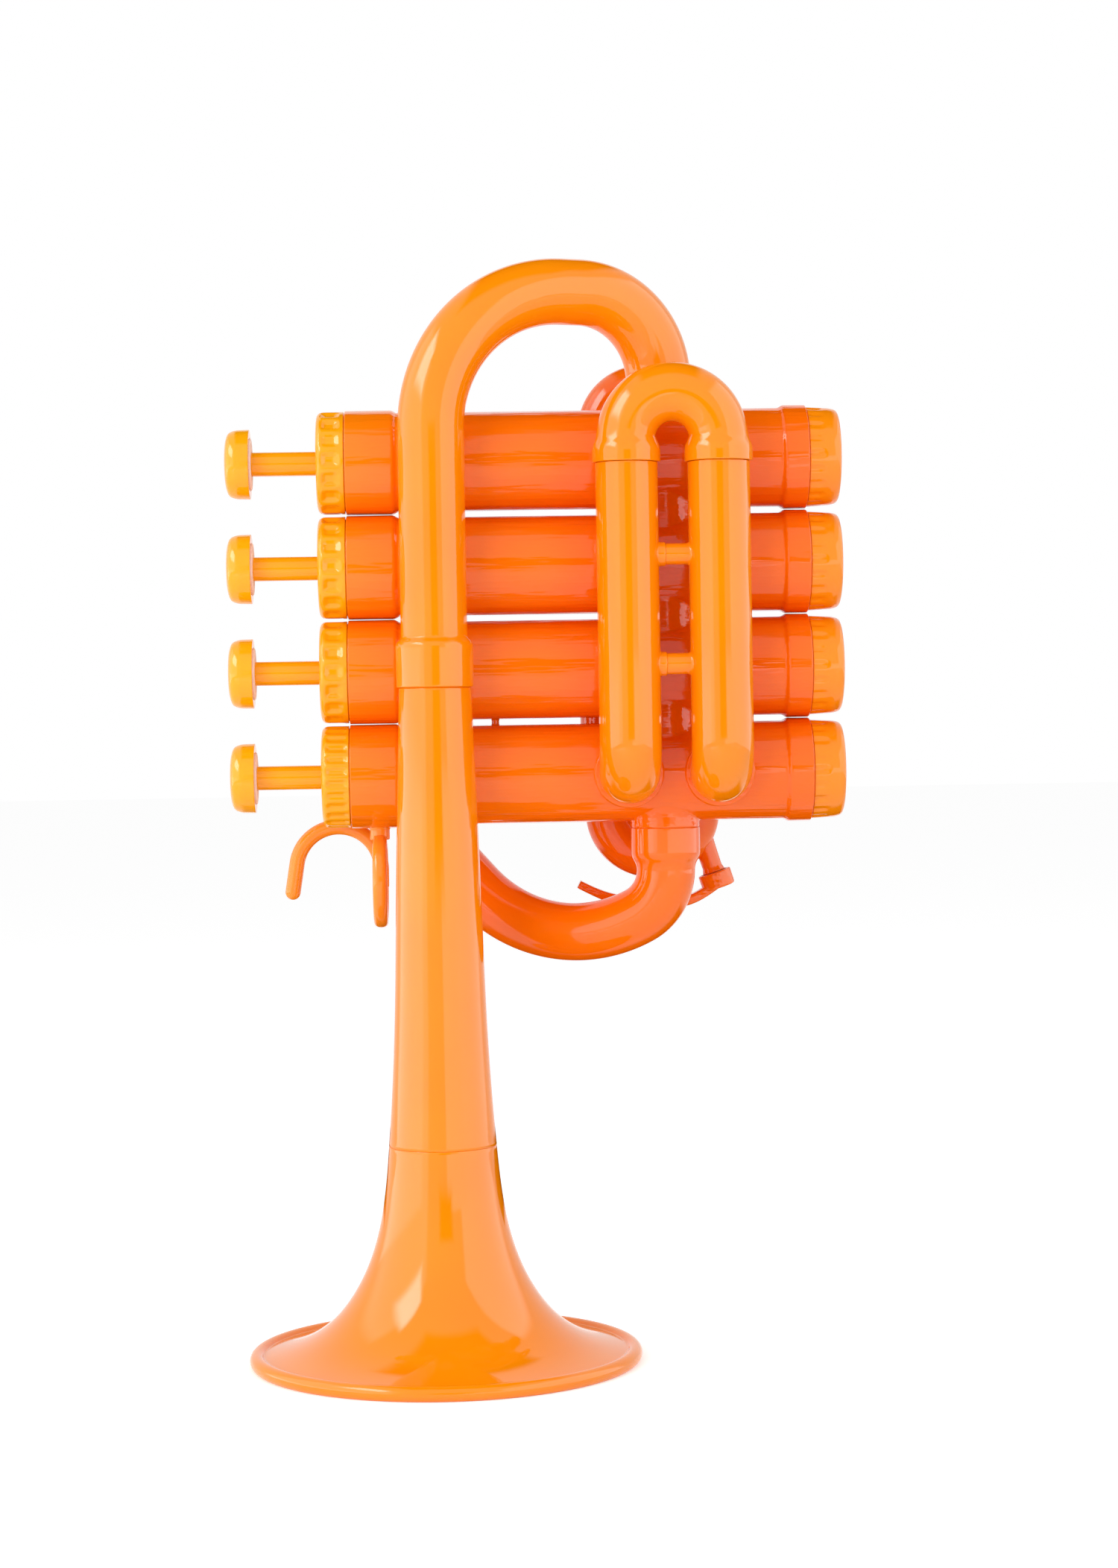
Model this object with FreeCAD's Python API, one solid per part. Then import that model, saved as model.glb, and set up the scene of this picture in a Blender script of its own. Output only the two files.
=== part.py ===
import FreeCAD, Part
import math
import os

from FreeCAD import Rotation, Vector

# Piccolo trumpet in moulded plastic, standing on its bell. All sizes in millimetres.
# While it is built, the bell's axis is the Z axis and the bell's mouth rests on z = 0. The valves lie
# along X behind the bell, with the finger buttons at low x and the bottom caps at high x.
# The last step moves the origin below the middle of the whole part.

# Driving dimensions of the bell and its bow
mouth_radius = 50.5
bead_radius = 2.0
rim_flat = 0.8
bell_wall = 1.8
seam_height = 55.8
seam_radius = 13.85
tail_radius = 9.3
spigot_radius = 8.6
spigot_length = 9.5
sleeve_radius = 10.0
sleeve_length = 11.2
sleeve_shoulder = 1.5
sleeve_drop = 16.8
bow_radius = 8.55
bow_bore = 6.6
bow_fall = 5.8
bow_flat = 5.6
wide_bend_share = 0.6188

# Driving dimensions of the valves
valve_count = 4
valve_low_z = 150.5
valve_y = 23.5
casing_radius = 12.95
casing_wall = 2.75
band_height = 0.6
band_gap = 0.4
band_edge = 0.4
casing_top_x = -22.7
collar_length = 13.4
casing_length = 121.4
band_length = 6.9
bore_step = 1.2
port_block_length = 79.7
cap_seat_length = 6.0
windway_radius = 5.5
windway_inset = 38.5
boss_radius = 9.15
boss_height = 1.75
pad_radius = 9.0
pad_height = 1.2

# Driving dimensions of the caps
top_cap_inset = 0.2
top_cap_height = 7.4
top_cap_roof = 3.2
bottom_cap_inset = 0.4
bottom_cap_taper = 0.85
bottom_cap_height = 8.5
bottom_cap_floor = 5.6
cap_round = 1.6
corner_share = 0.3
spigot_wall = 1.4
vent_radius = 1.2
flute_radius = 1.5
flute_depth = 0.45
notch_length = 5.2
top_flutes = 16
fine_top_flutes = 32
bottom_notches = 12

# Driving dimensions of what moves in a valve
valve_travel = 16.9
button_radius = 9.15
button_height = 6.2
button_face_radius = 5.3
button_shoulder = 0.7
button_shoulder_radius = 8.0
button_round = 2.4
felt_radius = 6.85
felt_height = 0.9
felt_stop_gap = 0.3
stem_radius = 3.15
stem_screw_radius = 2.0
stem_screw_length = 3.6
barrel_inset = 1.0
barrel_wall = 1.1
barrel_roof = 2.0
stop_felt_inset = 1.4
stop_felt_height = 2.6
piston_top_gap = 1.8
piston_low_gap = 1.9
through_radius = 5.0
cross_radius = 4.0
guide_height = 3.0
guide_key_width = 4.0
guide_hub_inset = 0.5
spring_inset = 0.7
spring_wire = 0.9

# Driving dimensions of the long slide in front
front_leg_radius = 8.05
front_leg_bore = 6.65
front_leg_inset = 10.1
front_leg_pitch = 23.8
front_leg_drop = 2.6
front_inner_radius = 6.6
front_inner_length = 45.0
front_ferrule_radius = 8.85
front_ferrule_height = 6.1
front_ferrule_round = 1.3
front_bow_radius = 7.5
brace_radius = 2.75
low_brace_rise = 0.6
high_brace_rise = 1.3

# Driving dimensions of the three slides behind
rear_inset = 1.9
rear_pitch = 23.6
rear_leg_radius = 7.4
rear_leg_bore = 6.05
rear_inner_radius = 6.0
rear_inner_bore = 5.1
rear_bow_radius = 6.4
rear_ferrule_height = 2.0
elbow_radius = 8.35
slide_1_leg = 10.0
slide_1_rise = 2.15
slide_2_leg = 7.0
slide_3_leg = 21.65
slide_3_run = 6.5

# Driving dimensions of the crook and the mouthpipe
crook_radius = 7.7
crook_bore = 5.5
crook_sleeve_length = 8.8
crook_drop = 2.2
crook_tight_bend = 14.0
crook_tight_turn = 62.0
crook_wide_turn = 74.0
crook_run = 5.5
crook_top_bend = 26.0
mouthpipe_x = -0.5
mouthpipe_y = 46.5
mouthpipe_radius = 7.0
receiver_radius = 8.0
receiver_bore = 6.4
receiver_length = 36.0
receiver_rise = 5.0
receiver_bead = 0.7
receiver_lip = 0.4
post_radius = 2.5
strut_x = 15.7
strut_radius = 1.0

# Driving dimensions of the finger ring and hook
ring_x = -15.3
ring_radius = 10.3
ring_bar_radius = 1.9
hook_bar_radius = 1.95
ring_boss_radius = 2.6
ring_drop = 1.3
hook_radius = 11.3
hook_lean = 9.0
hook_rise = 4.6
hook_tip_length = 6.0

# Driving dimensions of the water key
nipple_radius = 2.7
nipple_bore = 1.2
nipple_lean = 18.0
nipple_x = 14.6
nipple_z = -11.0
nipple_length = 6.2
cup_radius = 4.5
cup_height = 4.4
cork_radius = 3.6
cork_height = 1.6
lever_width = 6.0
lever_thick = 2.6
pivot_drop = 5.2
pivot_radius = 1.2
lever_barrel_radius = 2.3
lug_thick = 1.6
lug_gap = 0.3

# Clearances
glue_gap = 0.02
run_gap = 0.06
seam_gap = 0.05
loose_gap = 0.3
overrun = 2.0

# The bell's outline above its rim: share of the seam's height, share of the way from the seam's radius
# out to the rim bead. The tail's outline above the seam is given the same way up to the sleeve.
flare_shares = (
    (0.045, 1.0), (0.0824, 0.755), (0.1308, 0.5815), (0.2079, 0.4228), (0.3082, 0.2929),
    (0.4409, 0.1775), (0.6452, 0.0736),
)
tail_shares = ((0.0, 1.0), (0.2257, 0.626), (0.5, 0.395), (1.0, 0.0))
# The water key's lever from its finger pad past the pin to the nipple: share of the slide's pitch from the
# pin, share of the lever's thickness above the pin's axis
lever_shares = ((-0.86, 1.45), (-0.5, 0.0), (0.0, -0.55), (0.36, -0.5))

X = Vector(1, 0, 0)
Y = Vector(0, 1, 0)
Z = Vector(0, 0, 1)

# Places that follow from the driving dimensions
valves = tuple(range(1, valve_count + 1))
band_radius = casing_radius + band_height
valve_pitch = 2 * band_radius + band_gap
valve_z = {n: valve_low_z + (valve_count - n) * valve_pitch for n in valves}
chamber_radius = casing_radius - casing_wall
chamber_length = casing_length - port_block_length
piston_bore = chamber_radius - bore_step
top_cap_radius = band_radius - top_cap_inset
bottom_cap_radius = band_radius - bottom_cap_inset
bottom_cap_end_radius = bottom_cap_radius - bottom_cap_taper
barrel_radius = piston_bore - barrel_inset
stop_felt_radius = barrel_radius - stop_felt_inset
guide_hub_radius = barrel_radius - barrel_wall - guide_hub_inset
spring_radius = barrel_radius - barrel_wall - spring_inset
casing_end_x = casing_top_x + casing_length
windway_x = casing_end_x - windway_inset
bottom_cap_face_x = casing_end_x + bottom_cap_height
top_cap_face_x = casing_top_x - top_cap_height
felt_face_x = top_cap_face_x - felt_stop_gap - valve_travel
button_seat_x = felt_face_x - felt_height
button_face_x = button_seat_x - button_height
guide_seat_x = casing_top_x + chamber_length
piston_top_x = guide_seat_x + piston_top_gap
piston_low_x = casing_end_x + bottom_cap_height - bottom_cap_floor - valve_travel - piston_low_gap
piston_length = piston_low_x - piston_top_x
front_pad_y = valve_y - casing_radius - pad_height
rear_pad_y = valve_y + casing_radius + pad_height
front_leg_y = front_pad_y - elbow_radius
rear_leg_y = rear_pad_y + elbow_radius
boss_top_z = valve_z[1] + casing_radius + boss_height
boss_low_z = valve_z[4] - casing_radius - boss_height
rear_x = windway_x - rear_inset
rear_leg_x = (rear_x - rear_pitch / 2, rear_x + rear_pitch / 2)
front_leg_x = windway_x - front_leg_inset
front_legs_x = (front_leg_x, front_leg_x + front_leg_pitch)
front_leg_top_z = valve_z[1] - front_leg_drop
brace_heights = (valve_z[3] + low_brace_rise, valve_z[2] + high_brace_rise)
receiver_top_z = valve_z[1] + receiver_rise
tail_height = valve_z[2] - post_radius - sleeve_drop - sleeve_shoulder - sleeve_length
slide_1_axis_y = rear_pad_y + slide_1_leg + seam_gap + rear_ferrule_height + elbow_radius
slide_2_bow_y = rear_pad_y + slide_2_leg + seam_gap + rear_ferrule_height
bow_span = math.hypot(windway_x, valve_y)
bow_wide_bend = (bow_span - bow_flat) * wide_bend_share
bow_tight_bend = bow_span - bow_flat - bow_wide_bend
bow_height = boss_top_z + bow_fall + bow_tight_bend
crook_span = math.hypot(windway_x - mouthpipe_x, mouthpipe_y - valve_y)


def rod(start, heading, length, radius):
    """A round bar from a point, along a direction."""
    return Part.makeCylinder(radius, length, Vector(start), Vector(heading))


def hollow(start, heading, length, radius, bore):
    """A straight tube whose bore runs past both of its ends."""
    heading = Vector(heading).normalize()
    inner = rod(Vector(start) - heading * overrun, heading, length + 2 * overrun, bore)
    return rod(start, heading, length, radius).cut(inner)


def route(start, heading, normal, steps, radius):
    """A round bar along straight runs and arcs. Each step is (turn in degrees, run or bend radius)."""
    place = Vector(start)
    heading = Vector(heading).normalize()
    normal = Vector(normal).normalize()
    pieces = []
    for turn, size in steps:
        if turn == 0:
            if size > 0:
                pieces.append(rod(place, heading, size, radius))
            place = place + heading * size
            continue
        side = 1 if turn > 0 else -1
        centre = place + normal.cross(heading) * (side * size)
        section = Part.Face(Part.Wire([Part.Circle(place, heading, radius).toShape()]))
        pieces.append(section.revolve(centre, normal * side, abs(turn)))
        spin = Rotation(normal, turn)
        place = centre + spin.multVec(place - centre)
        heading = spin.multVec(heading)
    solid = pieces[0]
    if len(pieces) > 1:
        solid = pieces[0].fuse(pieces[1:])
    return solid, place, heading


def bent_tube(start, heading, normal, steps, radius, bore):
    """A bent tube: a bar along the route, less a thinner bar along the same route."""
    outer, place, heading_out = route(start, heading, normal, steps, radius)
    inner, _, _ = route(start, heading, normal, steps, bore)
    return outer.cut(inner), place, heading_out


def turned(points, origin, heading):
    """A solid of revolution. Each point is (distance along the heading, radius)."""
    heading = Vector(heading).normalize()
    side = Y if abs(heading.dot(Y)) < 0.5 else X
    corners = [Vector(origin) + heading * along + side * radius for along, radius in points]
    face = Part.Face(Part.makePolygon(corners + [corners[0]]))
    return face.revolve(Vector(origin), heading, 360)


def fused(solids):
    """One clean solid from several that overlap or meet."""
    return solids[0].fuse(list(solids[1:])).removeSplitter()


def bell_outline():
    """Points of the bell's outside from the rim up to the sleeve, as (radius, height)."""
    rim = mouth_radius - bead_radius
    flare = [(seam_radius + out * (rim - seam_radius), up * seam_height) for up, out in flare_shares]
    reach = tail_height - seam_height
    tail = [(tail_radius + out * (seam_radius - tail_radius), seam_height + up * reach)
            for up, out in tail_shares]
    return flare + tail


def bell_body():
    """The bell as one turned shell, from the rim bead to the end inside the bow's sleeve."""
    outer = Part.BSplineCurve()
    outer.interpolate([Vector(radius, 0, height) for radius, height in bell_outline()])
    inner_points = []
    for radius, height in bell_outline():
        tangent = outer.tangent(outer.parameter(Vector(radius, 0, height)))[0]
        inner_points.append(Vector(radius, 0, height) + Y.cross(tangent).normalize() * -bell_wall)
    inner = Part.BSplineCurve()
    inner.interpolate(inner_points)
    low_out, high_out = outer.StartPoint, outer.EndPoint
    low_in, high_in = inner.StartPoint, inner.EndPoint
    edges = [
        outer.toShape(),
        Part.makeLine(high_out, high_in),
        inner.toShape(),
        Part.makeLine(low_in, low_out),
    ]
    shell = Part.Face(Part.Wire(Part.__sortEdges__(edges))).revolve(Vector(), Z, 360)
    bead_z = math.sqrt(bead_radius ** 2 - rim_flat ** 2)
    bead = Part.makeTorus(mouth_radius - bead_radius, bead_radius, Vector(0, 0, bead_z), Z)
    below = Part.makeCylinder(mouth_radius + overrun, overrun * 2, Vector(0, 0, -overrun * 2), Z)
    return shell.fuse(bead).removeSplitter().cut(below)


def bell_parts():
    """The flare below the seam and the tail above it, whose spigot fits in the bow's sleeve."""
    whole = bell_body()
    reach = mouth_radius + overrun
    lower = Part.makeCylinder(reach, seam_height + overrun, Vector(0, 0, -overrun), Z)
    flare = whole.common(lower)
    tail = whole.cut(lower)
    # The tail's bore, where the spigot carries on from it
    bore = tail_radius - bell_wall
    spigot = hollow((0, 0, tail_height - overrun), Z, spigot_length + overrun, spigot_radius, bore)
    keep = Part.makeCylinder(reach, tail_height - seam_height, Vector(0, 0, seam_height), Z)
    tail = tail.common(keep).fuse(spigot).removeSplitter()
    return flare, tail


def bell_bow():
    """The big bow from the bell's sleeve, up and over to the first valve."""
    across = Vector(windway_x, valve_y, 0).normalize()
    normal = Z.cross(across)
    start = Vector(0, 0, tail_height + spigot_length + seam_gap)
    rise = bow_height - bow_wide_bend - start.z
    steps = ((0, rise), (90, bow_wide_bend), (0, bow_flat), (90, bow_tight_bend), (0, bow_fall))
    tube, _, _ = bent_tube(start, Z, normal, steps, bow_radius, bow_bore)
    outer_length = sleeve_length + sleeve_shoulder
    sleeve = turned(
        (
            (0, spigot_radius + glue_gap),
            (0, sleeve_radius - band_edge),
            (band_edge, sleeve_radius),
            (sleeve_length, sleeve_radius),
            (outer_length, bow_radius),
            (outer_length, bow_bore),
            (spigot_length + seam_gap, bow_bore),
            (spigot_length + seam_gap, spigot_radius + glue_gap),
        ),
        (0, 0, tail_height), Z,
    )
    # The socket over the first valve's boss face
    ferrule = hollow((windway_x, valve_y, boss_top_z), Z, crook_sleeve_length / 2, boss_radius, bow_bore)
    return fused([tube, sleeve, ferrule])


def slide_ports(n):
    """Where each valve's slide leaves its casing: the side (-1 front, 1 rear) and two places along x."""
    if n == 4:
        return -1, front_legs_x
    return 1, rear_leg_x


def valve_casing(n):
    """A casing turned about its axis, with its bosses, slide pads, bores and windway ports."""
    z = valve_z[n]
    band_start = casing_length - band_length
    body = turned(
        (
            (0, 0),
            (0, band_radius - band_edge),
            (band_edge, band_radius),
            (collar_length - band_edge, band_radius),
            (collar_length, casing_radius),
            (band_start, casing_radius),
            (band_start + band_edge, band_radius),
            (casing_length - band_edge, band_radius),
            (casing_length, band_radius - band_edge),
            (casing_length, 0),
        ),
        (casing_top_x, valve_y, z), X,
    )
    extras = []
    reach = casing_radius + boss_height
    if n == 1:
        extras.append(rod((windway_x, valve_y, z), Z, reach, boss_radius))
    if n == 4:
        extras.append(rod((windway_x, valve_y, z), -Z, reach, boss_radius))
    side, places = slide_ports(n)
    for x in places:
        extras.append(rod((x, valve_y, z), Y * side, casing_radius + pad_height, pad_radius))
    body = body.fuse(extras)
    seat = casing_length - cap_seat_length
    bores = [
        rod((casing_top_x - overrun, valve_y, z), X, casing_length + 2 * overrun, piston_bore),
        rod((casing_top_x - overrun, valve_y, z), X, chamber_length + overrun, chamber_radius),
        rod((casing_top_x + seat, valve_y, z), X, cap_seat_length + overrun, chamber_radius),
        rod((windway_x, valve_y, z - reach - overrun), Z, 2 * (reach + overrun), windway_radius),
    ]
    for x in places:
        bores.append(rod((x, valve_y, z), Y * side, reach + overrun, windway_radius))
    return body.cut(bores)


def crossover(n):
    """The short windway between casing n and the next one down, saddled to both."""
    low, high = valve_z[n + 1], valve_z[n]
    stub = hollow((windway_x, valve_y, low), Z, high - low, boss_radius - glue_gap, windway_radius)
    saddles = []
    for z in (low, high):
        start = Vector(windway_x - 2 * boss_radius, valve_y, z)
        saddles.append(rod(start, X, 4 * boss_radius, casing_radius + glue_gap))
    return stub.cut(saddles)


def fluted(body, start_x, length, radius, count, axis_z):
    """Cuts a ring of shallow round grooves along X into a cap."""
    flutes = []
    for k in range(count):
        angle = 2 * math.pi * (k + 0.5) / count
        out = radius + flute_radius - flute_depth
        place = Vector(start_x, valve_y + out * math.cos(angle), axis_z + out * math.sin(angle))
        flutes.append(rod(place, X, length, flute_radius))
    return body.cut(flutes)


def top_cap(n):
    """A fluted screw cap with a hole for the stem and a spigot down into the casing."""
    z = valve_z[n]
    spigot_out = chamber_radius - glue_gap
    spigot_in = spigot_out - spigot_wall
    depth = top_cap_height + cap_seat_length
    cap = turned(
        (
            (0, stem_radius + loose_gap),
            (0, top_cap_radius - cap_round),
            (cap_round * corner_share, top_cap_radius - cap_round * corner_share),
            (cap_round, top_cap_radius),
            (top_cap_height, top_cap_radius),
            (top_cap_height, spigot_out),
            (depth, spigot_out),
            (depth, spigot_in),
            (top_cap_roof, spigot_in),
            (top_cap_roof, stem_radius + loose_gap),
        ),
        (top_cap_face_x, valve_y, z), X,
    )
    count = fine_top_flutes if n == 4 else top_flutes
    start_x = top_cap_face_x + cap_round / 2
    return fluted(cap, start_x, top_cap_height - cap_round, top_cap_radius, count, z)


def bottom_cap(n):
    """A tapered screw cap with a vent hole, a hollow for the pressed piston and notches at its seam."""
    z = valve_z[n]
    spigot_out = chamber_radius - glue_gap
    spigot_in = piston_bore + loose_gap
    inner = bottom_cap_height - bottom_cap_floor
    cap = turned(
        (
            (-cap_seat_length, spigot_in),
            (-cap_seat_length, spigot_out),
            (0, spigot_out),
            (0, bottom_cap_radius),
            (bottom_cap_height - cap_round, bottom_cap_end_radius),
            (bottom_cap_height - cap_round * corner_share, bottom_cap_end_radius - cap_round * corner_share),
            (bottom_cap_height, bottom_cap_end_radius - cap_round),
            (bottom_cap_height, vent_radius),
            (inner, vent_radius),
            (inner, spigot_in),
        ),
        (casing_end_x, valve_y, z), X,
    )
    return fluted(cap, casing_end_x, notch_length, bottom_cap_radius, bottom_notches, z)


def finger_button(n):
    """A pillow-shaped finger button with a threaded hole for the stem."""
    points = (
        (0, 0),
        (0, button_face_radius),
        (button_shoulder, button_shoulder_radius),
        (button_round, button_radius),
        (button_height - button_shoulder, button_radius),
        (button_height, button_radius - button_shoulder),
        (button_height, stem_screw_radius + glue_gap),
        (button_height - stem_screw_length, stem_screw_radius + glue_gap),
        (button_height - stem_screw_length, 0),
    )
    return turned(points, (button_face_x, valve_y, valve_z[n]), X)


def barrel_top_x():
    """Where the top of a piston's spring barrel lies, below the stop felt and the cap's roof."""
    return top_cap_face_x + top_cap_roof + felt_stop_gap + stop_felt_height


def valve_felts(n):
    """The felt under the button and the stop felt on top of the spring barrel."""
    z = valve_z[n]
    hole = stem_radius + glue_gap
    under = hollow((button_seat_x, valve_y, z), X, felt_height, felt_radius, stem_screw_radius + glue_gap)
    stop_x = barrel_top_x() - stop_felt_height
    stop = hollow((stop_x, valve_y, z), X, stop_felt_height, stop_felt_radius, hole)
    return Part.makeCompound([under, stop])


def valve_stem(n):
    """The stem from the button to the barrel, with a screw at each end."""
    z = valve_z[n]
    shaft = rod((felt_face_x, valve_y, z), X, barrel_top_x() - felt_face_x, stem_radius)
    upper = stem_screw_length + felt_height - glue_gap
    screw_up = rod((felt_face_x, valve_y, z), -X, upper, stem_screw_radius)
    screw_down = rod((barrel_top_x(), valve_y, z), X, barrel_roof, stem_screw_radius)
    return fused([shaft, screw_up, screw_down])


def piston(n):
    """A piston with its slotted spring barrel. One straight windway crosses it for the open valve,
    and two slanted ones join the main line to the slide when it is pressed."""
    z = valve_z[n]
    radius = piston_bore - run_gap
    body = rod((piston_top_x, valve_y, z), X, piston_length, radius)
    top = barrel_top_x()
    barrel = rod((top, valve_y, z), X, piston_top_x - top, barrel_radius)
    hollow_bore = rod((top + barrel_roof, valve_y, z), X, piston_top_x - top - barrel_roof,
                      barrel_radius - barrel_wall)
    screw = rod((top - overrun, valve_y, z), X, 2 * overrun + barrel_roof, stem_screw_radius + glue_gap)
    slot_low = guide_seat_x - guide_height - valve_travel - loose_gap
    slot_length = guide_seat_x + loose_gap - slot_low
    slot_width = guide_key_width + 2 * loose_gap
    slot = Part.makeBox(slot_length, 4 * barrel_radius, slot_width,
                        Vector(slot_low, valve_y - 2 * barrel_radius, z - slot_width / 2))
    barrel = barrel.cut([hollow_bore, screw, slot])
    body = body.fuse(barrel).removeSplitter()
    through = rod((windway_x, valve_y, z - 2 * radius), Z, 4 * radius, through_radius)
    side, places = slide_ports(n)
    drills = [through]
    for vertical, x in ((-1, places[0]), (1, places[1])):
        start = Vector(windway_x - valve_travel, valve_y, z + vertical * radius)
        end = Vector(x - valve_travel, valve_y + side * radius, z)
        heading = end - start
        length = heading.Length
        heading.normalize()
        drills.append(rod(start - heading * overrun, heading, length + 2 * overrun, cross_radius))
    return body.cut(drills)


def valve_guide(n):
    """The guide inside the barrel: a hub with two keys that pass through the slots to the casing."""
    z = valve_z[n]
    start_x = guide_seat_x - guide_height
    hub = rod((start_x, valve_y, z), X, guide_height, guide_hub_radius)
    reach = chamber_radius - glue_gap
    bar = Part.makeBox(guide_height, 2 * reach, guide_key_width,
                       Vector(start_x, valve_y - reach, z - guide_key_width / 2))
    bar = bar.common(rod((start_x, valve_y, z), X, guide_height, reach))
    return fused([hub, bar])


def valve_spring(n):
    """The spring between the barrel's roof and the guide, as the sleeve that its coils fill."""
    start = barrel_top_x() + barrel_roof
    length = guide_seat_x - guide_height - start
    return hollow((start, valve_y, valve_z[n]), X, length, spring_radius, spring_radius - spring_wire)


def front_legs():
    """The two fixed legs of the long slide, each with its elbow to the fourth valve's pad."""
    legs = []
    for x in front_legs_x:
        start = Vector(x, front_pad_y, valve_z[4])
        run = front_leg_top_z - valve_z[4] - elbow_radius
        leg, _, _ = bent_tube(start, -Y, X, ((-90, elbow_radius), (0, run)), front_leg_radius, windway_radius)
        depth = front_inner_length + overrun
        socket = rod((x, front_leg_y, front_leg_top_z - depth), Z, depth + overrun, front_leg_bore)
        legs.append(leg.cut(socket))
    return Part.makeCompound(legs)


def front_braces():
    """The two round stays between the legs, saddled to them."""
    stays = []
    legs = [rod((x, front_leg_y, 0), Z, bow_height, front_leg_radius + glue_gap) for x in front_legs_x]
    for z in brace_heights:
        stay = rod((front_legs_x[0], front_leg_y, z), X, front_leg_pitch, brace_radius)
        stays.append(stay.cut(legs))
    return Part.makeCompound(stays)


def front_bow():
    """The long slide's bow with a round-shouldered ferrule on each end."""
    start = Vector(front_legs_x[0], front_leg_y, front_leg_top_z + seam_gap)
    steps = ((0, front_ferrule_height), (180, front_leg_pitch / 2), (0, front_ferrule_height))
    bow, _, _ = bent_tube(start, Z, Y, steps, front_bow_radius, windway_radius)
    solids = [bow]
    for x in front_legs_x:
        solids.append(turned(
            (
                (0, windway_radius),
                (0, front_ferrule_radius - band_edge),
                (band_edge, front_ferrule_radius),
                (front_ferrule_height - front_ferrule_round, front_ferrule_radius),
                (front_ferrule_height - front_ferrule_round * corner_share, front_ferrule_radius - band_edge),
                (front_ferrule_height, front_bow_radius),
                (front_ferrule_height, windway_radius),
            ),
            (x, front_leg_y, start.z), Z,
        ))
    return fused(solids)


def front_inner_tubes():
    """The inner tubes that carry the bow and slide in the legs."""
    start_z = front_leg_top_z + seam_gap
    tubes = [hollow((x, front_leg_y, start_z), -Z, front_inner_length, front_inner_radius, windway_radius)
             for x in front_legs_x]
    return Part.makeCompound(tubes)


def rear_bow_pair(start_y, start_z, heading, normal, steps, inner_length):
    """A rear slide's bow: inner tube, ferrule, bent tube, and the same again at the other end."""
    place = Vector(rear_leg_x[0], start_y, start_z)
    bow, _, _ = bent_tube(place, heading, normal, steps, rear_bow_radius, rear_inner_bore)
    solids = [bow]
    for x in rear_leg_x:
        foot = Vector(x, start_y, start_z)
        solids.append(hollow(foot, heading, rear_ferrule_height, rear_leg_radius, rear_inner_bore))
        solids.append(hollow(foot, -heading, inner_length, rear_inner_radius, rear_inner_bore))
    return fused(solids)


def straight_legs(n, length):
    """Two fixed legs that stand straight back from a valve's pads."""
    tubes = [hollow((x, rear_pad_y, valve_z[n]), Y, length, rear_leg_radius, rear_leg_bore)
             for x in rear_leg_x]
    return Part.makeCompound(tubes)


def bow_1():
    """The first slide's bow: back out of its legs, then up through two elbows and over."""
    z = valve_z[1]
    start_y = rear_pad_y + slide_1_leg + seam_gap
    feet = []
    for x in rear_leg_x:
        steps = ((0, rear_ferrule_height), (90, elbow_radius), (0, slide_1_rise))
        foot, place, _ = bent_tube((x, start_y, z), Y, X, steps, rear_bow_radius, rear_inner_bore)
        feet.append(foot)
        feet.append(hollow((x, start_y, z), Y, rear_ferrule_height, rear_leg_radius, rear_inner_bore))
        feet.append(hollow((x, start_y, z), -Y, slide_1_leg - loose_gap, rear_inner_radius, rear_inner_bore))
    arch_start = Vector(rear_leg_x[0], slide_1_axis_y, z + elbow_radius + slide_1_rise)
    arch, _, _ = bent_tube(arch_start, Z, Y, ((180, rear_pitch / 2),), rear_bow_radius, rear_inner_bore)
    return fused([arch] + feet)


def bow_2():
    """The second slide's short bow, straight back."""
    start_y = rear_pad_y + slide_2_leg + seam_gap
    steps = ((0, rear_ferrule_height), (-180, rear_pitch / 2), (0, rear_ferrule_height))
    return rear_bow_pair(start_y, valve_z[2], Y, Z, steps, slide_2_leg - loose_gap)


def legs_3():
    """The third slide's fixed legs, each with an elbow that turns down."""
    legs = []
    for x in rear_leg_x:
        start = Vector(x, rear_pad_y, valve_z[3])
        steps = ((-90, elbow_radius), (0, slide_3_leg))
        leg, place, _ = bent_tube(start, Y, X, steps, rear_leg_radius, rear_inner_bore)
        socket = rod(place + Z * (slide_3_leg - overrun), -Z, slide_3_leg + overrun, rear_leg_bore)
        legs.append(leg.cut(socket))
    return Part.makeCompound(legs)


slide_3_mouth_z = valve_z[3] - elbow_radius - slide_3_leg
slide_3_centre_z = slide_3_mouth_z - seam_gap - rear_ferrule_height - slide_3_run
slide_3_low_z = slide_3_centre_z - rear_pitch / 2 - rear_bow_radius
pivot_z = slide_3_low_z - pivot_drop


def nipple_line():
    """The water key nipple's foot on the third slide's bow, and the direction that it points in."""
    lean = math.radians(nipple_lean)
    foot = Vector(rear_x + nipple_x, rear_leg_y, slide_3_centre_z + nipple_z)
    return foot, Vector(math.sin(lean), 0, -math.cos(lean))


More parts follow.
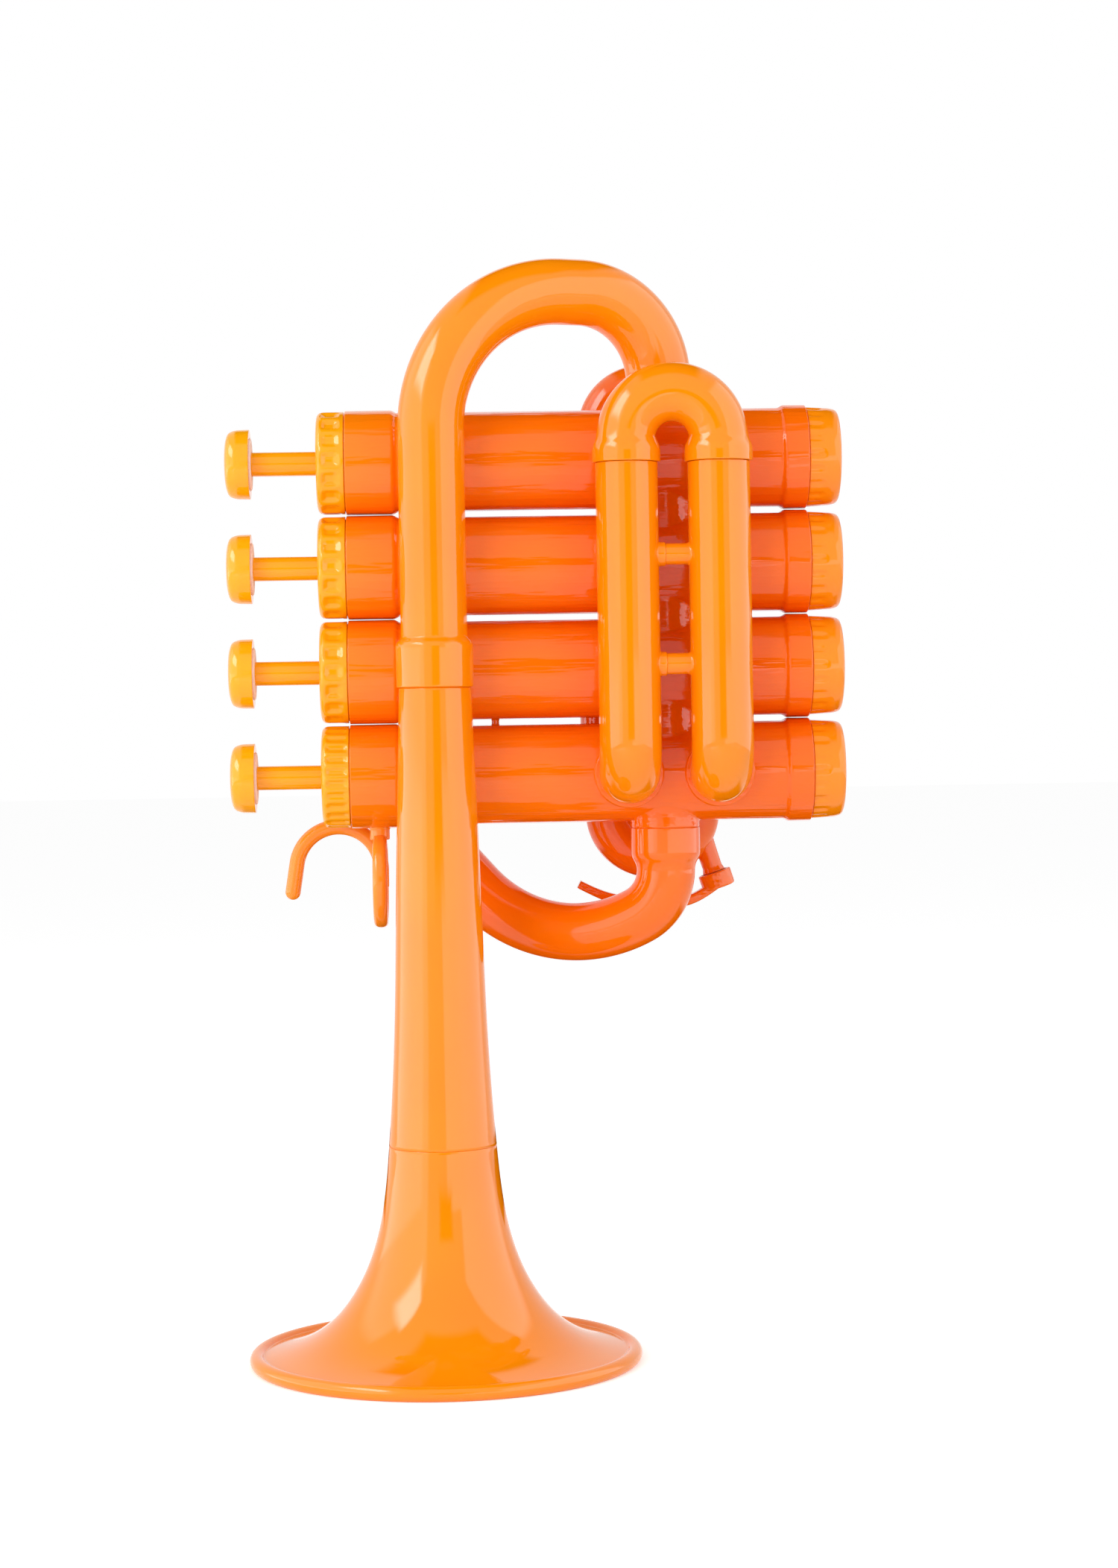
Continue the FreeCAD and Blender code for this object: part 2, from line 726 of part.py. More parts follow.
def bow_3():
    """The third slide's bow with the water key's nipple and the two lugs for its pin."""
    run = rear_ferrule_height + slide_3_run
    steps = ((0, run), (-180, rear_pitch / 2), (0, run))
    start_z = slide_3_mouth_z - seam_gap
    bow = rear_bow_pair(rear_leg_y, start_z, -Z, Y, steps, slide_3_leg - overrun - loose_gap)
    foot, heading = nipple_line()
    nipple = rod(foot - heading * rear_bow_radius, heading, rear_bow_radius + nipple_length, nipple_radius)
    drill_length = rear_bow_radius + nipple_length + overrun
    hole = rod(foot - heading * rear_bow_radius, heading, drill_length, nipple_bore)
    solids = [bow, nipple]
    for side in (-1, 1):
        inner = rear_leg_y + side * (lever_width / 2 + lug_gap)
        start_y = min(inner, inner + side * lug_thick)
        lug = rod((rear_x, start_y, pivot_z), Y, lug_thick, lever_barrel_radius)
        web = Part.makeBox(2 * lever_barrel_radius, lug_thick, pivot_drop + rear_bow_radius,
                           Vector(rear_x - lever_barrel_radius, start_y, pivot_z))
        solids.append(lug)
        solids.append(web)
    body = fused(solids)
    void, _, _ = route((rear_leg_x[0], rear_leg_y, start_z), -Z, Y, steps, rear_inner_bore)
    pin = rod((rear_x, rear_leg_y - lever_width, pivot_z), Y, 2 * lever_width, pivot_radius + glue_gap)
    return body.cut([hole, void, pin])


def water_key_pin():
    """The pin through both lugs and the lever."""
    half = lever_width / 2 + lug_gap + lug_thick
    return rod((rear_x, rear_leg_y - half, pivot_z), Y, 2 * half, pivot_radius)


def water_key_lever():
    """The lever: a cup over the nipple, an arm under the bow, the pin's barrel and a finger pad."""
    foot, heading = nipple_line()
    seat = foot + heading * (nipple_length + seam_gap)
    cup = rod(seat, heading, cup_height, cup_radius)
    pocket = rod(seat - heading * overrun, heading, overrun + cork_height, cork_radius + glue_gap)
    arm_end = seat + heading * (cup_height - lever_thick / 2)
    profile = [Vector(rear_x + out * rear_pitch, 0, pivot_z + up * lever_thick) for out, up in lever_shares]
    spine = Part.BSplineCurve()
    spine.interpolate(profile + [Vector(arm_end.x, 0, arm_end.z)])
    high = spine.copy()
    high.translate(Z * lever_thick)
    ends = [Part.makeLine(spine.StartPoint, high.StartPoint), Part.makeLine(spine.EndPoint, high.EndPoint)]
    face = Part.Face(Part.Wire(Part.__sortEdges__([spine.toShape(), high.toShape()] + ends)))
    arm = face.extrude(Y * lever_width)
    arm.translate(Vector(0, rear_leg_y - lever_width / 2, -lever_thick / 2))
    barrel = rod((rear_x, rear_leg_y - lever_width / 2, pivot_z), Y, lever_width, lever_barrel_radius)
    hole = rod((rear_x, rear_leg_y - lever_width, pivot_z), Y, 2 * lever_width, pivot_radius + run_gap)
    body = fused([cup, arm, barrel])
    return body.cut([pocket, hole])


def water_key_cork():
    """The cork disc in the lever's cup, which closes the nipple."""
    foot, heading = nipple_line()
    seat = foot + heading * (nipple_length + seam_gap)
    return rod(seat, heading, cork_height, cork_radius)


def tuning_crook():
    """The crook from the fourth valve's boss, down and round behind the bell to the mouthpipe."""
    across = Vector(mouthpipe_x - windway_x, mouthpipe_y - valve_y, 0).normalize()
    normal = across.cross(Z)
    start = Vector(windway_x, valve_y, boss_low_z)
    turned_back = crook_tight_turn + crook_wide_turn
    first = math.cos(math.radians(crook_tight_turn))
    second = math.cos(math.radians(turned_back))
    crossed = crook_tight_bend * (1 - first) + crook_top_bend * (1 + second)
    crossed += crook_run * math.sin(math.radians(turned_back))
    # The wide bend makes up what is left of the way across to the mouthpipe
    crook_wide_bend = (crook_span - crossed) / (first - second)
    steps = (
        (0, crook_sleeve_length + crook_drop),
        (crook_tight_turn, crook_tight_bend),
        (crook_wide_turn, crook_wide_bend),
        (0, crook_run),
        (180 - turned_back, crook_top_bend),
    )
    tube, end, _ = bent_tube(start, -Z, normal, steps, crook_radius, crook_bore)
    sleeve = turned(
        (
            (0, windway_radius),
            (0, boss_radius),
            (crook_sleeve_length - sleeve_shoulder, boss_radius),
            (crook_sleeve_length + band_edge, crook_radius),
            (crook_sleeve_length + band_edge, windway_radius),
        ),
        start, -Z,
    )
    return fused([tube, sleeve]), end


def mouthpipe(end_z):
    """The mouthpipe's fixed part, from the crook up to the receiver for the removable shank."""
    axis = Vector(mouthpipe_x, mouthpipe_y, 0)
    low = end_z + seam_gap
    receiver_z = receiver_top_z - receiver_length
    return turned(
        (
            (low, crook_bore),
            (low, mouthpipe_radius + receiver_bead),
            (low + crook_sleeve_length / 2, mouthpipe_radius + receiver_bead),
            (low + crook_sleeve_length / 2 + receiver_bead, mouthpipe_radius),
            (receiver_z, mouthpipe_radius),
            (receiver_z + (receiver_radius - mouthpipe_radius) * 2, receiver_radius),
            (receiver_top_z - 2 * receiver_bead, receiver_radius),
            (receiver_top_z - 2 * receiver_bead, receiver_radius + receiver_lip),
            (receiver_top_z, receiver_radius + receiver_lip),
            (receiver_top_z, receiver_bore),
            (receiver_z + receiver_bead, receiver_bore),
            (receiver_z + receiver_bead, crook_bore),
        ),
        axis, Z,
    )


def post(x, z, low, high, cutters):
    """A round post along Y from one tube to another, saddled to both."""
    return rod((x, low, z), Y, high - low, post_radius).cut(cutters)


def casing_cutter(n):
    """The outside of casing n, a glue film larger, to saddle a post on."""
    start = Vector(casing_top_x + collar_length, valve_y, valve_z[n])
    return rod(start, X, casing_length / 2, casing_radius + glue_gap)


def bell_posts():
    """The posts that hold the bow's straight leg to the upper two casings."""
    tube = rod((0, 0, seam_height), Z, bow_height, bow_radius + glue_gap)
    return [post(0, valve_z[n], 0, valve_y, [tube, casing_cutter(n)]) for n in (1, 2)]


def mouthpipe_posts():
    """The posts that hold the mouthpipe to the second and third casings."""
    pipe = rod((mouthpipe_x, mouthpipe_y, seam_height), Z, bow_height, mouthpipe_radius + glue_gap)
    grip = rod((mouthpipe_x, mouthpipe_y, receiver_top_z - receiver_length), Z, receiver_length,
               receiver_radius + glue_gap)
    cutters = [pipe, grip]
    return [post(mouthpipe_x, valve_z[n], valve_y, mouthpipe_y, cutters + [casing_cutter(n)]) for n in (2, 3)]


def casing_strut():
    """The thin strut between the third and fourth casings."""
    low, high = valve_z[4], valve_z[3]
    strut = rod((strut_x, valve_y, low), Z, high - low, strut_radius)
    return strut.cut([casing_cutter(3), casing_cutter(4)])


def finger_hook():
    """The finger ring below the fourth valve's collar, and the hook that rises from its rear side."""
    top_z = valve_z[4] - band_radius - ring_drop
    ring_z = top_z - ring_bar_radius - ring_radius
    ring = Part.makeTorus(ring_radius, ring_bar_radius, Vector(ring_x, valve_y, ring_z), X)
    boss = rod((ring_x, valve_y, top_z - ring_bar_radius), Z, band_radius, ring_boss_radius)
    collar = rod((casing_top_x - collar_length, valve_y, valve_z[4]), X, 3 * collar_length,
                 band_radius + glue_gap)
    hook_y = valve_y + ring_radius
    steps = (
        (0, hook_rise),
        (-(180 - hook_lean), hook_radius),
        (0, hook_tip_length),
    )
    foot_z = ring_z - ring_bar_radius
    hook, tip, _ = route((ring_x, hook_y, foot_z), Z, Y, steps, hook_bar_radius)
    end = Part.makeSphere(hook_bar_radius, tip)
    return fused([ring, boss.cut(collar), hook, end])


def build():
    """Every node by name."""
    nodes = {}
    nodes["bell_flare"], nodes["bell_tail"] = bell_parts()
    nodes["bell_bow"] = bell_bow()
    for n in valves:
        nodes["valve_casing_%d" % n] = valve_casing(n)
        nodes["top_cap_%d" % n] = top_cap(n)
        nodes["bottom_cap_%d" % n] = bottom_cap(n)
        nodes["finger_button_%d" % n] = finger_button(n)
        nodes["valve_felts_%d" % n] = valve_felts(n)
        nodes["valve_stem_%d" % n] = valve_stem(n)
        nodes["piston_%d" % n] = piston(n)
        nodes["valve_guide_%d" % n] = valve_guide(n)
        nodes["valve_spring_%d" % n] = valve_spring(n)
    for n in (1, 2, 3):
        nodes["crossover_%d_%d" % (n, n + 1)] = crossover(n)
    nodes["slide_4_legs"] = front_legs()
    nodes["slide_4_braces"] = front_braces()
    nodes["slide_4_bow"] = front_bow()
    nodes["slide_4_inner_tubes"] = front_inner_tubes()
    nodes["slide_1_legs"] = straight_legs(1, slide_1_leg)
    nodes["slide_1_bow"] = bow_1()
    nodes["slide_2_legs"] = straight_legs(2, slide_2_leg)
    nodes["slide_2_bow"] = bow_2()
    nodes["slide_3_legs"] = legs_3()
    nodes["slide_3_bow"] = bow_3()
    nodes["water_key_lever"] = water_key_lever()
    nodes["water_key_cork"] = water_key_cork()
    nodes["water_key_pin"] = water_key_pin()
    nodes["tuning_crook"], crook_end = tuning_crook()
    nodes["mouthpipe"] = mouthpipe(crook_end.z)
    nodes["body_posts"] = Part.makeCompound(bell_posts() + mouthpipe_posts() + [casing_strut()])
    nodes["finger_hook"] = finger_hook()
    return nodes


def origin_shift():
    """How far the part moves so that the origin lies below the middle of its box."""
    rear_y = max(slide_1_axis_y, slide_2_bow_y + rear_pitch / 2) + rear_bow_radius
    middle_x = (button_face_x + bottom_cap_face_x) / 2
    middle_y = (rear_y - mouth_radius) / 2
    return Vector(-middle_x, -middle_y, 0)


os.makedirs("parts", exist_ok=True)
shift = origin_shift()
total_volume = 0.0
total_moment = Vector()
for name, shape in build().items():
    moved = shape.copy()
    moved.translate(shift)
    solids = moved.Solids
    if not solids or not moved.isValid():
        raise ValueError(name + " isn't a valid solid")
    out = solids[0] if len(solids) == 1 else Part.makeCompound(solids)
    out.exportStep("parts/" + name + ".step")
    volume = sum(s.Volume for s in solids)
    for s in solids:
        total_volume += s.Volume
        total_moment += s.CenterOfMass * s.Volume
    print("%-22s solids %d volume %9.1f" % (name, len(solids), volume))
centre = total_moment * (1.0 / total_volume)
print("origin shift", shift)
print("centre of volume", centre, "volume", total_volume)
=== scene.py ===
# %% [markdown]
# # A plastic piccolo trumpet, standing on its bell
# The imported CAD model is the frame: it has every tube, valve and slide at its real size and place. This
# notebook dresses it. Each moulded piece gets a smooth surface that is worked out with numpy, and each
# finish gets nodes for its colour, its gloss and the small unevenness that moulding leaves.
# The first step loads the frame.

import bpy
import numpy as np
from mathutils import Matrix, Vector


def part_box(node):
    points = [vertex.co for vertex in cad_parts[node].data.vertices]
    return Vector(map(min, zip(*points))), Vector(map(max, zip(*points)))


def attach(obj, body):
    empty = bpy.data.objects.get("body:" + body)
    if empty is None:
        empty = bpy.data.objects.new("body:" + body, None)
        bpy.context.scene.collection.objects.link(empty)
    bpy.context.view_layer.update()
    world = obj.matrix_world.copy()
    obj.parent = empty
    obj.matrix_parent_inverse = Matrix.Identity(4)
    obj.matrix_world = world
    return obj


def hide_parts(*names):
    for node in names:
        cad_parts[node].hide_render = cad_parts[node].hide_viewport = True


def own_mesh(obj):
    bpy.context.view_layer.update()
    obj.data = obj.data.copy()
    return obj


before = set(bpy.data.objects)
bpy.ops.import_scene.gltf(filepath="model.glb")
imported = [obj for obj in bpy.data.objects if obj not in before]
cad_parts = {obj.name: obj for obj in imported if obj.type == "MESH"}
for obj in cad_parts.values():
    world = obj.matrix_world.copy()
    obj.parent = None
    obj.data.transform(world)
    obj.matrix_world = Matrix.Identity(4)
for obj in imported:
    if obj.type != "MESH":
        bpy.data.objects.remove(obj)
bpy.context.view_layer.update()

# %% [markdown]
# ## Millimetres from the bell's axis
# A maker of this instrument would measure everything from the bell's axis, so the sizes here are
# millimetres from that axis, with the table at z = 0. Blender wants metres in the CAD frame, whose origin
# lies under the middle of the whole instrument. One function does the change, and every mesh goes through
# it, so a piece's object can stay at the origin.

# %% Units, directions and objects
mm = 0.001
bell_axis = np.array([-26.4, -7.2, 0.0])
X, Y, Z = np.eye(3)


def in_frame(points):
    """Metres in the CAD frame: the bell axis's place is added to millimetre points, times 0.001."""
    return (np.asarray(points) + bell_axis) * mm


def unit(vectors):
    """Each vector divided by its length."""
    return vectors / np.linalg.norm(vectors, axis=-1, keepdims=True)


def add_object(name, data):
    """A new object with this data, linked to the scene."""
    thing = bpy.data.objects.new(name, data)
    bpy.context.scene.collection.objects.link(thing)
    return thing


def stand(thing, place, right, up, back):
    """Moves a camera or a lamp to a place, with its own three axes along right, up and back."""
    axes = Matrix(np.column_stack([right, up, back]).tolist()).to_4x4()
    thing.matrix_world = Matrix.Translation(np.array(place).tolist()) @ axes


print("bell axis in the frame:", in_frame([0, 0, 0]))

# %% [markdown]
# ## The camera
# The photograph was taken from a little above the middle of the instrument, turned two degrees to the
# right and rolled one degree. The camera's three directions are worked out from those angles, because a
# matrix made of its right, up and back directions can't be misread as three separate turns.

# %% Place the camera
camera_place = in_frame([3.0, -813.6, 166.0])
turn, dip, roll = np.radians([2.0, 1.256, 0.95])
picture_long_side = 2103
focal_length_px = 4250
sensor_long_side = 36.0

ahead = np.array([np.sin(turn) * np.cos(dip), np.cos(turn) * np.cos(dip), -np.sin(dip)])
level_right = np.array([np.cos(turn), -np.sin(turn), 0.0])
level_up = np.cross(level_right, ahead)
right = level_right * np.cos(roll) - level_up * np.sin(roll)
up = level_up * np.cos(roll) + level_right * np.sin(roll)

camera_data = bpy.data.cameras.new("studio_camera")
camera_data.lens = focal_length_px * sensor_long_side / picture_long_side
camera_data.sensor_fit = "VERTICAL"
camera_data.sensor_height = sensor_long_side
camera_data.clip_start = 0.05
camera = add_object("studio_camera", camera_data)
stand(camera, camera_place, right, up, -ahead)
bpy.context.scene.camera = camera
bpy.context.scene.view_settings.view_transform = "Standard"
print("lens:", round(camera_data.lens, 2), "mm")

# %% [markdown]
# ## The studio
# Glossy plastic shows its studio as well as being lit by it, and the two are easier to tune apart. The lamps
# here only light the plastic's own colour, and no reflection shows them. The world is white where the
# camera or a reflection sees it, and gives a plainer light to the plastic's own colour.

# %% Light the room
room_light = 0.60
white = (1, 1, 1, 1)


def put(socket, value):
    """Links a socket to another node's output, or else gives it the value."""
    if isinstance(value, bpy.types.NodeSocket):
        socket.id_data.links.new(value, socket)
    else:
        socket.default_value = value


def add_node(tree, kind, *values, **settings):
    """A new shader node. The values go to its input sockets in their order. A setting whose name is a
    socket's, with _ for a space, goes to that socket too, and any other is a setting of the node."""
    node = tree.nodes.new(kind)
    for key, value in settings.items():
        label = key.replace("_", " ")
        if label in node.inputs:
            put(node.inputs[label], value)
        else:
            setattr(node, key, value)
    for socket, value in zip(node.inputs, values):
        put(socket, value)
    return node


def largest(tree, *masks):
    """The largest of a few masks, two at a time."""
    result = masks[0]
    for mask in masks[1:]:
        result = add_node(tree, "ShaderNodeMath", result, mask, operation="MAXIMUM").outputs[0]
    return result


def seen_mask(tree):
    """1 for camera, glossy and transmission rays, and 0 for the rays that light a surface: their maximum."""
    rays = add_node(tree, "ShaderNodeLightPath").outputs
    return largest(tree, rays["Is Camera Ray"], rays["Is Glossy Ray"], rays["Is Transmission Ray"])


world = bpy.data.worlds.new("white_room")
bpy.context.scene.world = world
world.use_nodes = True
air = world.node_tree
air.nodes.clear()
lighting = add_node(air, "ShaderNodeBackground", white, room_light)
shown = add_node(air, "ShaderNodeBackground", white, 1.0)
chosen = add_node(air, "ShaderNodeMixShader", seen_mask(air), lighting.outputs[0], shown.outputs[0])
add_node(air, "ShaderNodeOutputWorld", chosen.outputs[0])
lamp_aim = (-0.01, 0.0, 0.15)


def softbox(name, place, width, height, brightness):
    """An area light that looks from place to lamp_aim. Its power is brightness x area x pi, so that its
    surface is that many times as bright as white, whatever its size."""
    light = bpy.data.lights.new(name, "AREA")
    light.shape = "RECTANGLE"
    light.size, light.size_y = width, height
    light.energy = brightness * width * height * np.pi
    lamp = add_object(name, light)
    back = unit(np.subtract(place, lamp_aim))
    side = unit(np.cross(Z, back))
    stand(lamp, place, side, np.cross(back, side), back)
    lamp.visible_camera = lamp.visible_glossy = False


softbox("left_lamp", (-0.40, -0.56, 0.30), 0.40, 0.60, 2.65)
softbox("left_side_lamp", (-0.90, -0.10, 0.20), 0.50, 0.60, 1.7)
softbox("right_lamp", (0.74, -0.66, 0.32), 0.70, 0.85, 1.3)
softbox("top_lamp", (0.0, -0.15, 1.1), 0.80, 0.80, 0.65)

# %% [markdown]
# ## What the plastic reflects
# A photographer puts up pale and black cards to shape the reflections. Here a bright wall on each side makes
# the long highlights, with a brighter one high on the left for the glints on the flare and on small corners.
# One dark card over the instrument and one under its valves keep the rounded tops and undersides in their
# own deep colour, and one in front stands for the camera and whoever holds it. Their edges are soft: a card
# is let through more and more towards its rim. Only reflections see them.

# %% Put up the cards
square = ((-1, -1), (1, -1), (1, 1), (-1, 1))


def blank_paint(name):
    """A material whose nodes are still to come, and its node tree."""
    paint = bpy.data.materials.new(name)
    paint.use_nodes = True
    paint.node_tree.nodes.clear()
    return paint, paint.node_tree


def object_place(tree):
    """Where a point is in its object, in metres."""
    return add_node(tree, "ShaderNodeTexCoord").outputs["Object"]


def add_mesh(name, points, faces, material):
    """An object made of faces between points in metres, in one material."""
    mesh = bpy.data.meshes.new(name)
    mesh.from_pydata(np.array(points).tolist(), [], faces)
    mesh.materials.append(material)
    return add_object(name, mesh)


def card(name, place, size, soft, brightness, from_above=False):
    """A flat card with one of its three sizes nought, as bright as brightness x white, that fades out over
    its outer share, soft. With x, y and z the shares of the way from its middle to its rim, the fade is
    eased from the largest of the three. A card from_above is clear to whatever is under it."""
    paint, tree = blank_paint(name)
    half = [width / 2 if width else 1.0 for width in size]
    share = add_node(tree, "ShaderNodeMapping", object_place(tree), place, Scale=half, vector_type="TEXTURE")
    distance = add_node(tree, "ShaderNodeVectorMath", share.outputs[0], operation="ABSOLUTE")
    parts = add_node(tree, "ShaderNodeSeparateXYZ", distance.outputs[0])
    fade = add_node(tree, "ShaderNodeMapRange", largest(tree, *parts.outputs), 1 - soft,
                    interpolation_type="SMOOTHSTEP").outputs[0]
    if from_above:
        fade = largest(tree, add_node(tree, "ShaderNodeNewGeometry").outputs["Backfacing"], fade)
    shine = add_node(tree, "ShaderNodeEmission", white, brightness)
    clear = add_node(tree, "ShaderNodeBsdfTransparent")
    blend = add_node(tree, "ShaderNodeMixShader", fade, shine.outputs[0], clear.outputs[0])
    add_node(tree, "ShaderNodeOutputMaterial", blend.outputs[0])
    across, upward = [np.eye(3)[k] * size[k] / 2 for k in range(3) if size[k]]
    thing = add_mesh(name, [place + across * i + upward * j for i, j in square], [(0, 1, 2, 3)], paint)
    for rays in ("camera", "diffuse", "transmission", "volume_scatter", "shadow"):
        setattr(thing, f"visible_{rays}", False)


card("left_wall", (-1.0, -0.55, 0.66), (0, 2.6, 1.7), 0.35, 2.3)
card("left_low_wall", (-0.98, -0.20, 0.06), (0, 2.0, 0.34), 0.4, 3.4)
card("left_high_wall", (-0.75, -0.54, 0.92), (0, 0.95, 0.75), 0.5, 9.0)
card("right_wall", (1.0, -0.50, 0.66), (0, 2.5, 1.7), 0.25, 2.7)
card("right_low_wall", (0.52, -0.95, 0.04), (0.92, 0, 0.34), 0.15, 2.5)
card("ceiling_card", (0.05, 0.30, 0.95), (0.75, 1.35, 0), 0.3, 0.0)
card("under_card", (0.03, 0.12, 0.035), (0.30, 0.20, 0), 0.3, 0.0, from_above=True)
card("front_card", (0.03, -0.90, 0.23), (0.50, 0, 0.28), 0.5, 0.0)

# %% [markdown]
# ## The floor
# The instrument stands on white. A floor that was only white would still look grey at its far side, so
# the floor glows a little for the camera and for reflections, but lights nothing. Under the bell the lamps
# don't reach it, and there the soft shadow that holds the instrument down stays visible.

# %% Lay the floor
floor_reach, floor_glow, floor_grey = 6.0, 0.42, 0.93
floor_paint, floor_tree = blank_paint("floor_paint")
paint = add_node(floor_tree, "ShaderNodeBsdfDiffuse", (floor_grey, floor_grey, floor_grey, 1))
level = add_node(floor_tree, "ShaderNodeMath", seen_mask(floor_tree), floor_glow, operation="MULTIPLY")
glow = add_node(floor_tree, "ShaderNodeEmission", white, level.outputs[0])
joined = add_node(floor_tree, "ShaderNodeAddShader", paint.outputs[0], glow.outputs[0])
add_node(floor_tree, "ShaderNodeOutputMaterial", joined.outputs[0])
corners = [(i * floor_reach, j * floor_reach, 0.0) for i, j in square]
floor = add_mesh("floor", corners, [(0, 1, 2, 3)], floor_paint)
print("floor:", 2 * floor_reach, "m wide")

# %% [markdown]
# ## What moulding leaves on plastic
# Moulded plastic isn't perfectly smooth. Its skin has shallow waves and finer streaks that are drawn out
# the way the plastic flowed, which bend the edges of each highlight, a fine pebbling, and clouds of slightly
# different colour and gloss. Every plastic piece has these, so they are one node group, with the amounts
# and the flow as its inputs.

# %% The moulded skin as a node group
cloud_scale, speck_scale, wave_scale, streak_scale, pebble_scale = 38.0, 620.0, 90.0, 380.0, 1500.0


def noise(tree, place, scale, detail=2.0, roughness=0.5):
    """A noise from 0 to 1 whose cells are 1 / scale metres across."""
    return add_node(tree, "ShaderNodeTexNoise", place, Scale=scale, Detail=detail, Roughness=roughness).outputs[0]


def mixed(tree, share, first, second):
    """Colour: first x (1 - share) + second x share. Sockets 6 and 7 of the node are its two colours."""
    node = add_node(tree, "ShaderNodeMix", share, data_type="RGBA")
    put(node.inputs[6], first)
    put(node.inputs[7], second)
    return node.outputs[2]


def spread(tree, value, low, high, new_low, new_high):
    """A value from low to high laid out evenly from new_low to new_high, and held there beyond them."""
    return add_node(tree, "ShaderNodeMapRange", value, low, high, new_low, new_high).outputs[0]


def bumped(tree, height, depth, under=None):
    """A normal from a height of 0 to 1 that stands for depth metres, on top of the normal under it."""
    node = add_node(tree, "ShaderNodeBump", Strength=1.0, Height=height, Distance=depth)
    if under is not None:
        put(node.inputs["Normal"], under)
    return node.outputs[0]


skin = bpy.data.node_groups.new("moulded_skin", "ShaderNodeTree")
for side, kind, labels in (
    ("INPUT", "Color", ("Colour", "Cloud Colour")),
    ("INPUT", "Float", ("Gloss Low", "Gloss High", "Wave Depth", "Streak Depth", "Pebble Depth")),
    ("INPUT", "Vector", ("Flow",)),
    ("OUTPUT", "Color", ("Colour",)), ("OUTPUT", "Float", ("Roughness",)), ("OUTPUT", "Vector", ("Normal",)),
):
    for label in labels:
        skin.interface.new_socket(label, in_out=side, socket_type=f"NodeSocket{kind}")
asked = add_node(skin, "NodeGroupInput").outputs
place = object_place(skin)
flow = add_node(skin, "ShaderNodeMapping", place, Scale=asked["Flow"]).outputs[0]
clouds, specks = noise(skin, place, cloud_scale, 3.0), noise(skin, place, speck_scale, 4.0, 0.7)
cloud_share = spread(skin, clouds, 0.35, 0.7, 0.0, 1.0)
skin_colour = mixed(skin, cloud_share, asked["Colour"], asked["Cloud Colour"])
skin_gloss = spread(skin, specks, 0.35, 0.75, asked["Gloss Low"], asked["Gloss High"])
waves = bumped(skin, noise(skin, flow, wave_scale, 1.5), asked["Wave Depth"])
streaks = bumped(skin, noise(skin, flow, streak_scale), asked["Streak Depth"], waves)
pebbles = bumped(skin, noise(skin, place, pebble_scale), asked["Pebble Depth"], streaks)
add_node(skin, "NodeGroupOutput", skin_colour, skin_gloss, pebbles)
print("skin group:", [s.name for s in skin.interface.items_tree])

# %% [markdown]
# ## The orange plastics
# The instrument is one kind of plastic from several batches: the bell and the front slide are a lighter
# orange, the valve casings and the far tubes a redder one, and the caps, stems and buttons are nearly
# yellow. They share the group above. Their gloss is plain dielectric gloss, so the shader's own sockets for
# it are left as numbers. The casings are painted a little lighter towards their finger ends: painted light,
# standing in for the stronger lamp on the left, which lights that end more.

# %% Mix the plastics
plastic_ior, gloss = 1.46, (0.04, 0.09)
slots = {}


def from_screen(red, green, blue):
    """A colour as a screen shows it, 0 to 255, as the linear numbers that a shader wants."""
    share = np.array([red, green, blue]) / 255.0
    linear = np.where(share > 0.04045, ((share + 0.055) / 1.055) ** 2.4, share / 12.92)
    return (*linear.tolist(), 1.0)


def finish(name, slot, **sockets):
    """A material with one Principled shader, whose sockets are set as numbers, for the pieces of a slot."""
    material = bpy.data.materials.new(name)
    material.use_nodes = True
    shader = material.node_tree.nodes["Principled BSDF"]
    for key, value in sockets.items():
        shader.inputs[key.replace("_", " ")].default_value = value
    slots[name] = slot
    return material, material.node_tree, shader


def moulded(name, slot, colour, cloud, flow=(1, 1, 0.2), wave=0.00003, streak=0.000004, pebble=0.0000004):
    """A glossy plastic that wears the moulded skin. The flow is how much each axis counts in its waves."""
    material, tree, shader = finish(name, slot, IOR=plastic_ior)
    worn = add_node(tree, "ShaderNodeGroup", from_screen(*colour), from_screen(*cloud), *gloss,
                    wave, streak, pebble, flow, node_tree=skin)
    for label, output in zip(("Base Color", "Roughness", "Normal"), worn.outputs):
        put(shader.inputs[label], output)
    return material


along_x = (0.1, 1, 1)
rippled = {"flow": along_x, "wave": 0.0010, "streak": 0.00035}
light_orange = moulded("light_orange_plastic", "light_orange", (254, 144, 4), (254, 139, 6))
casing_orange = moulded("casing_plastic", "deep_orange", (254, 112, 2), (253, 108, 4), **rippled)
deep_orange = moulded("deep_orange_plastic", "deep_orange", (254, 115, 2), (253, 111, 4), **rippled)
yellow_orange = moulded("yellow_orange_plastic", "yellow_orange", (254, 172, 6), (254, 166, 8), along_x,
                        streak=0.00002)
button_orange = moulded("button_plastic", "yellow_orange", (254, 174, 6), (254, 170, 8),
                        streak=0.000001, pebble=0.0000001)
bottom_orange = moulded("bottom_cap_plastic", "yellow_orange", (254, 145, 6), (254, 140, 8), along_x,
                        streak=0.000012)
crook_orange = moulded("crook_plastic", "deep_orange", (254, 116, 3), (253, 112, 4))
# Painted sheen: the hook and ring get a lighter, pinker copy of the deep orange, standing in for the reflection on
# their front faces.
hook_orange_painted_sheen = moulded("hook_plastic_painted_sheen", "deep_orange", (254, 152, 38), (254, 148, 36))

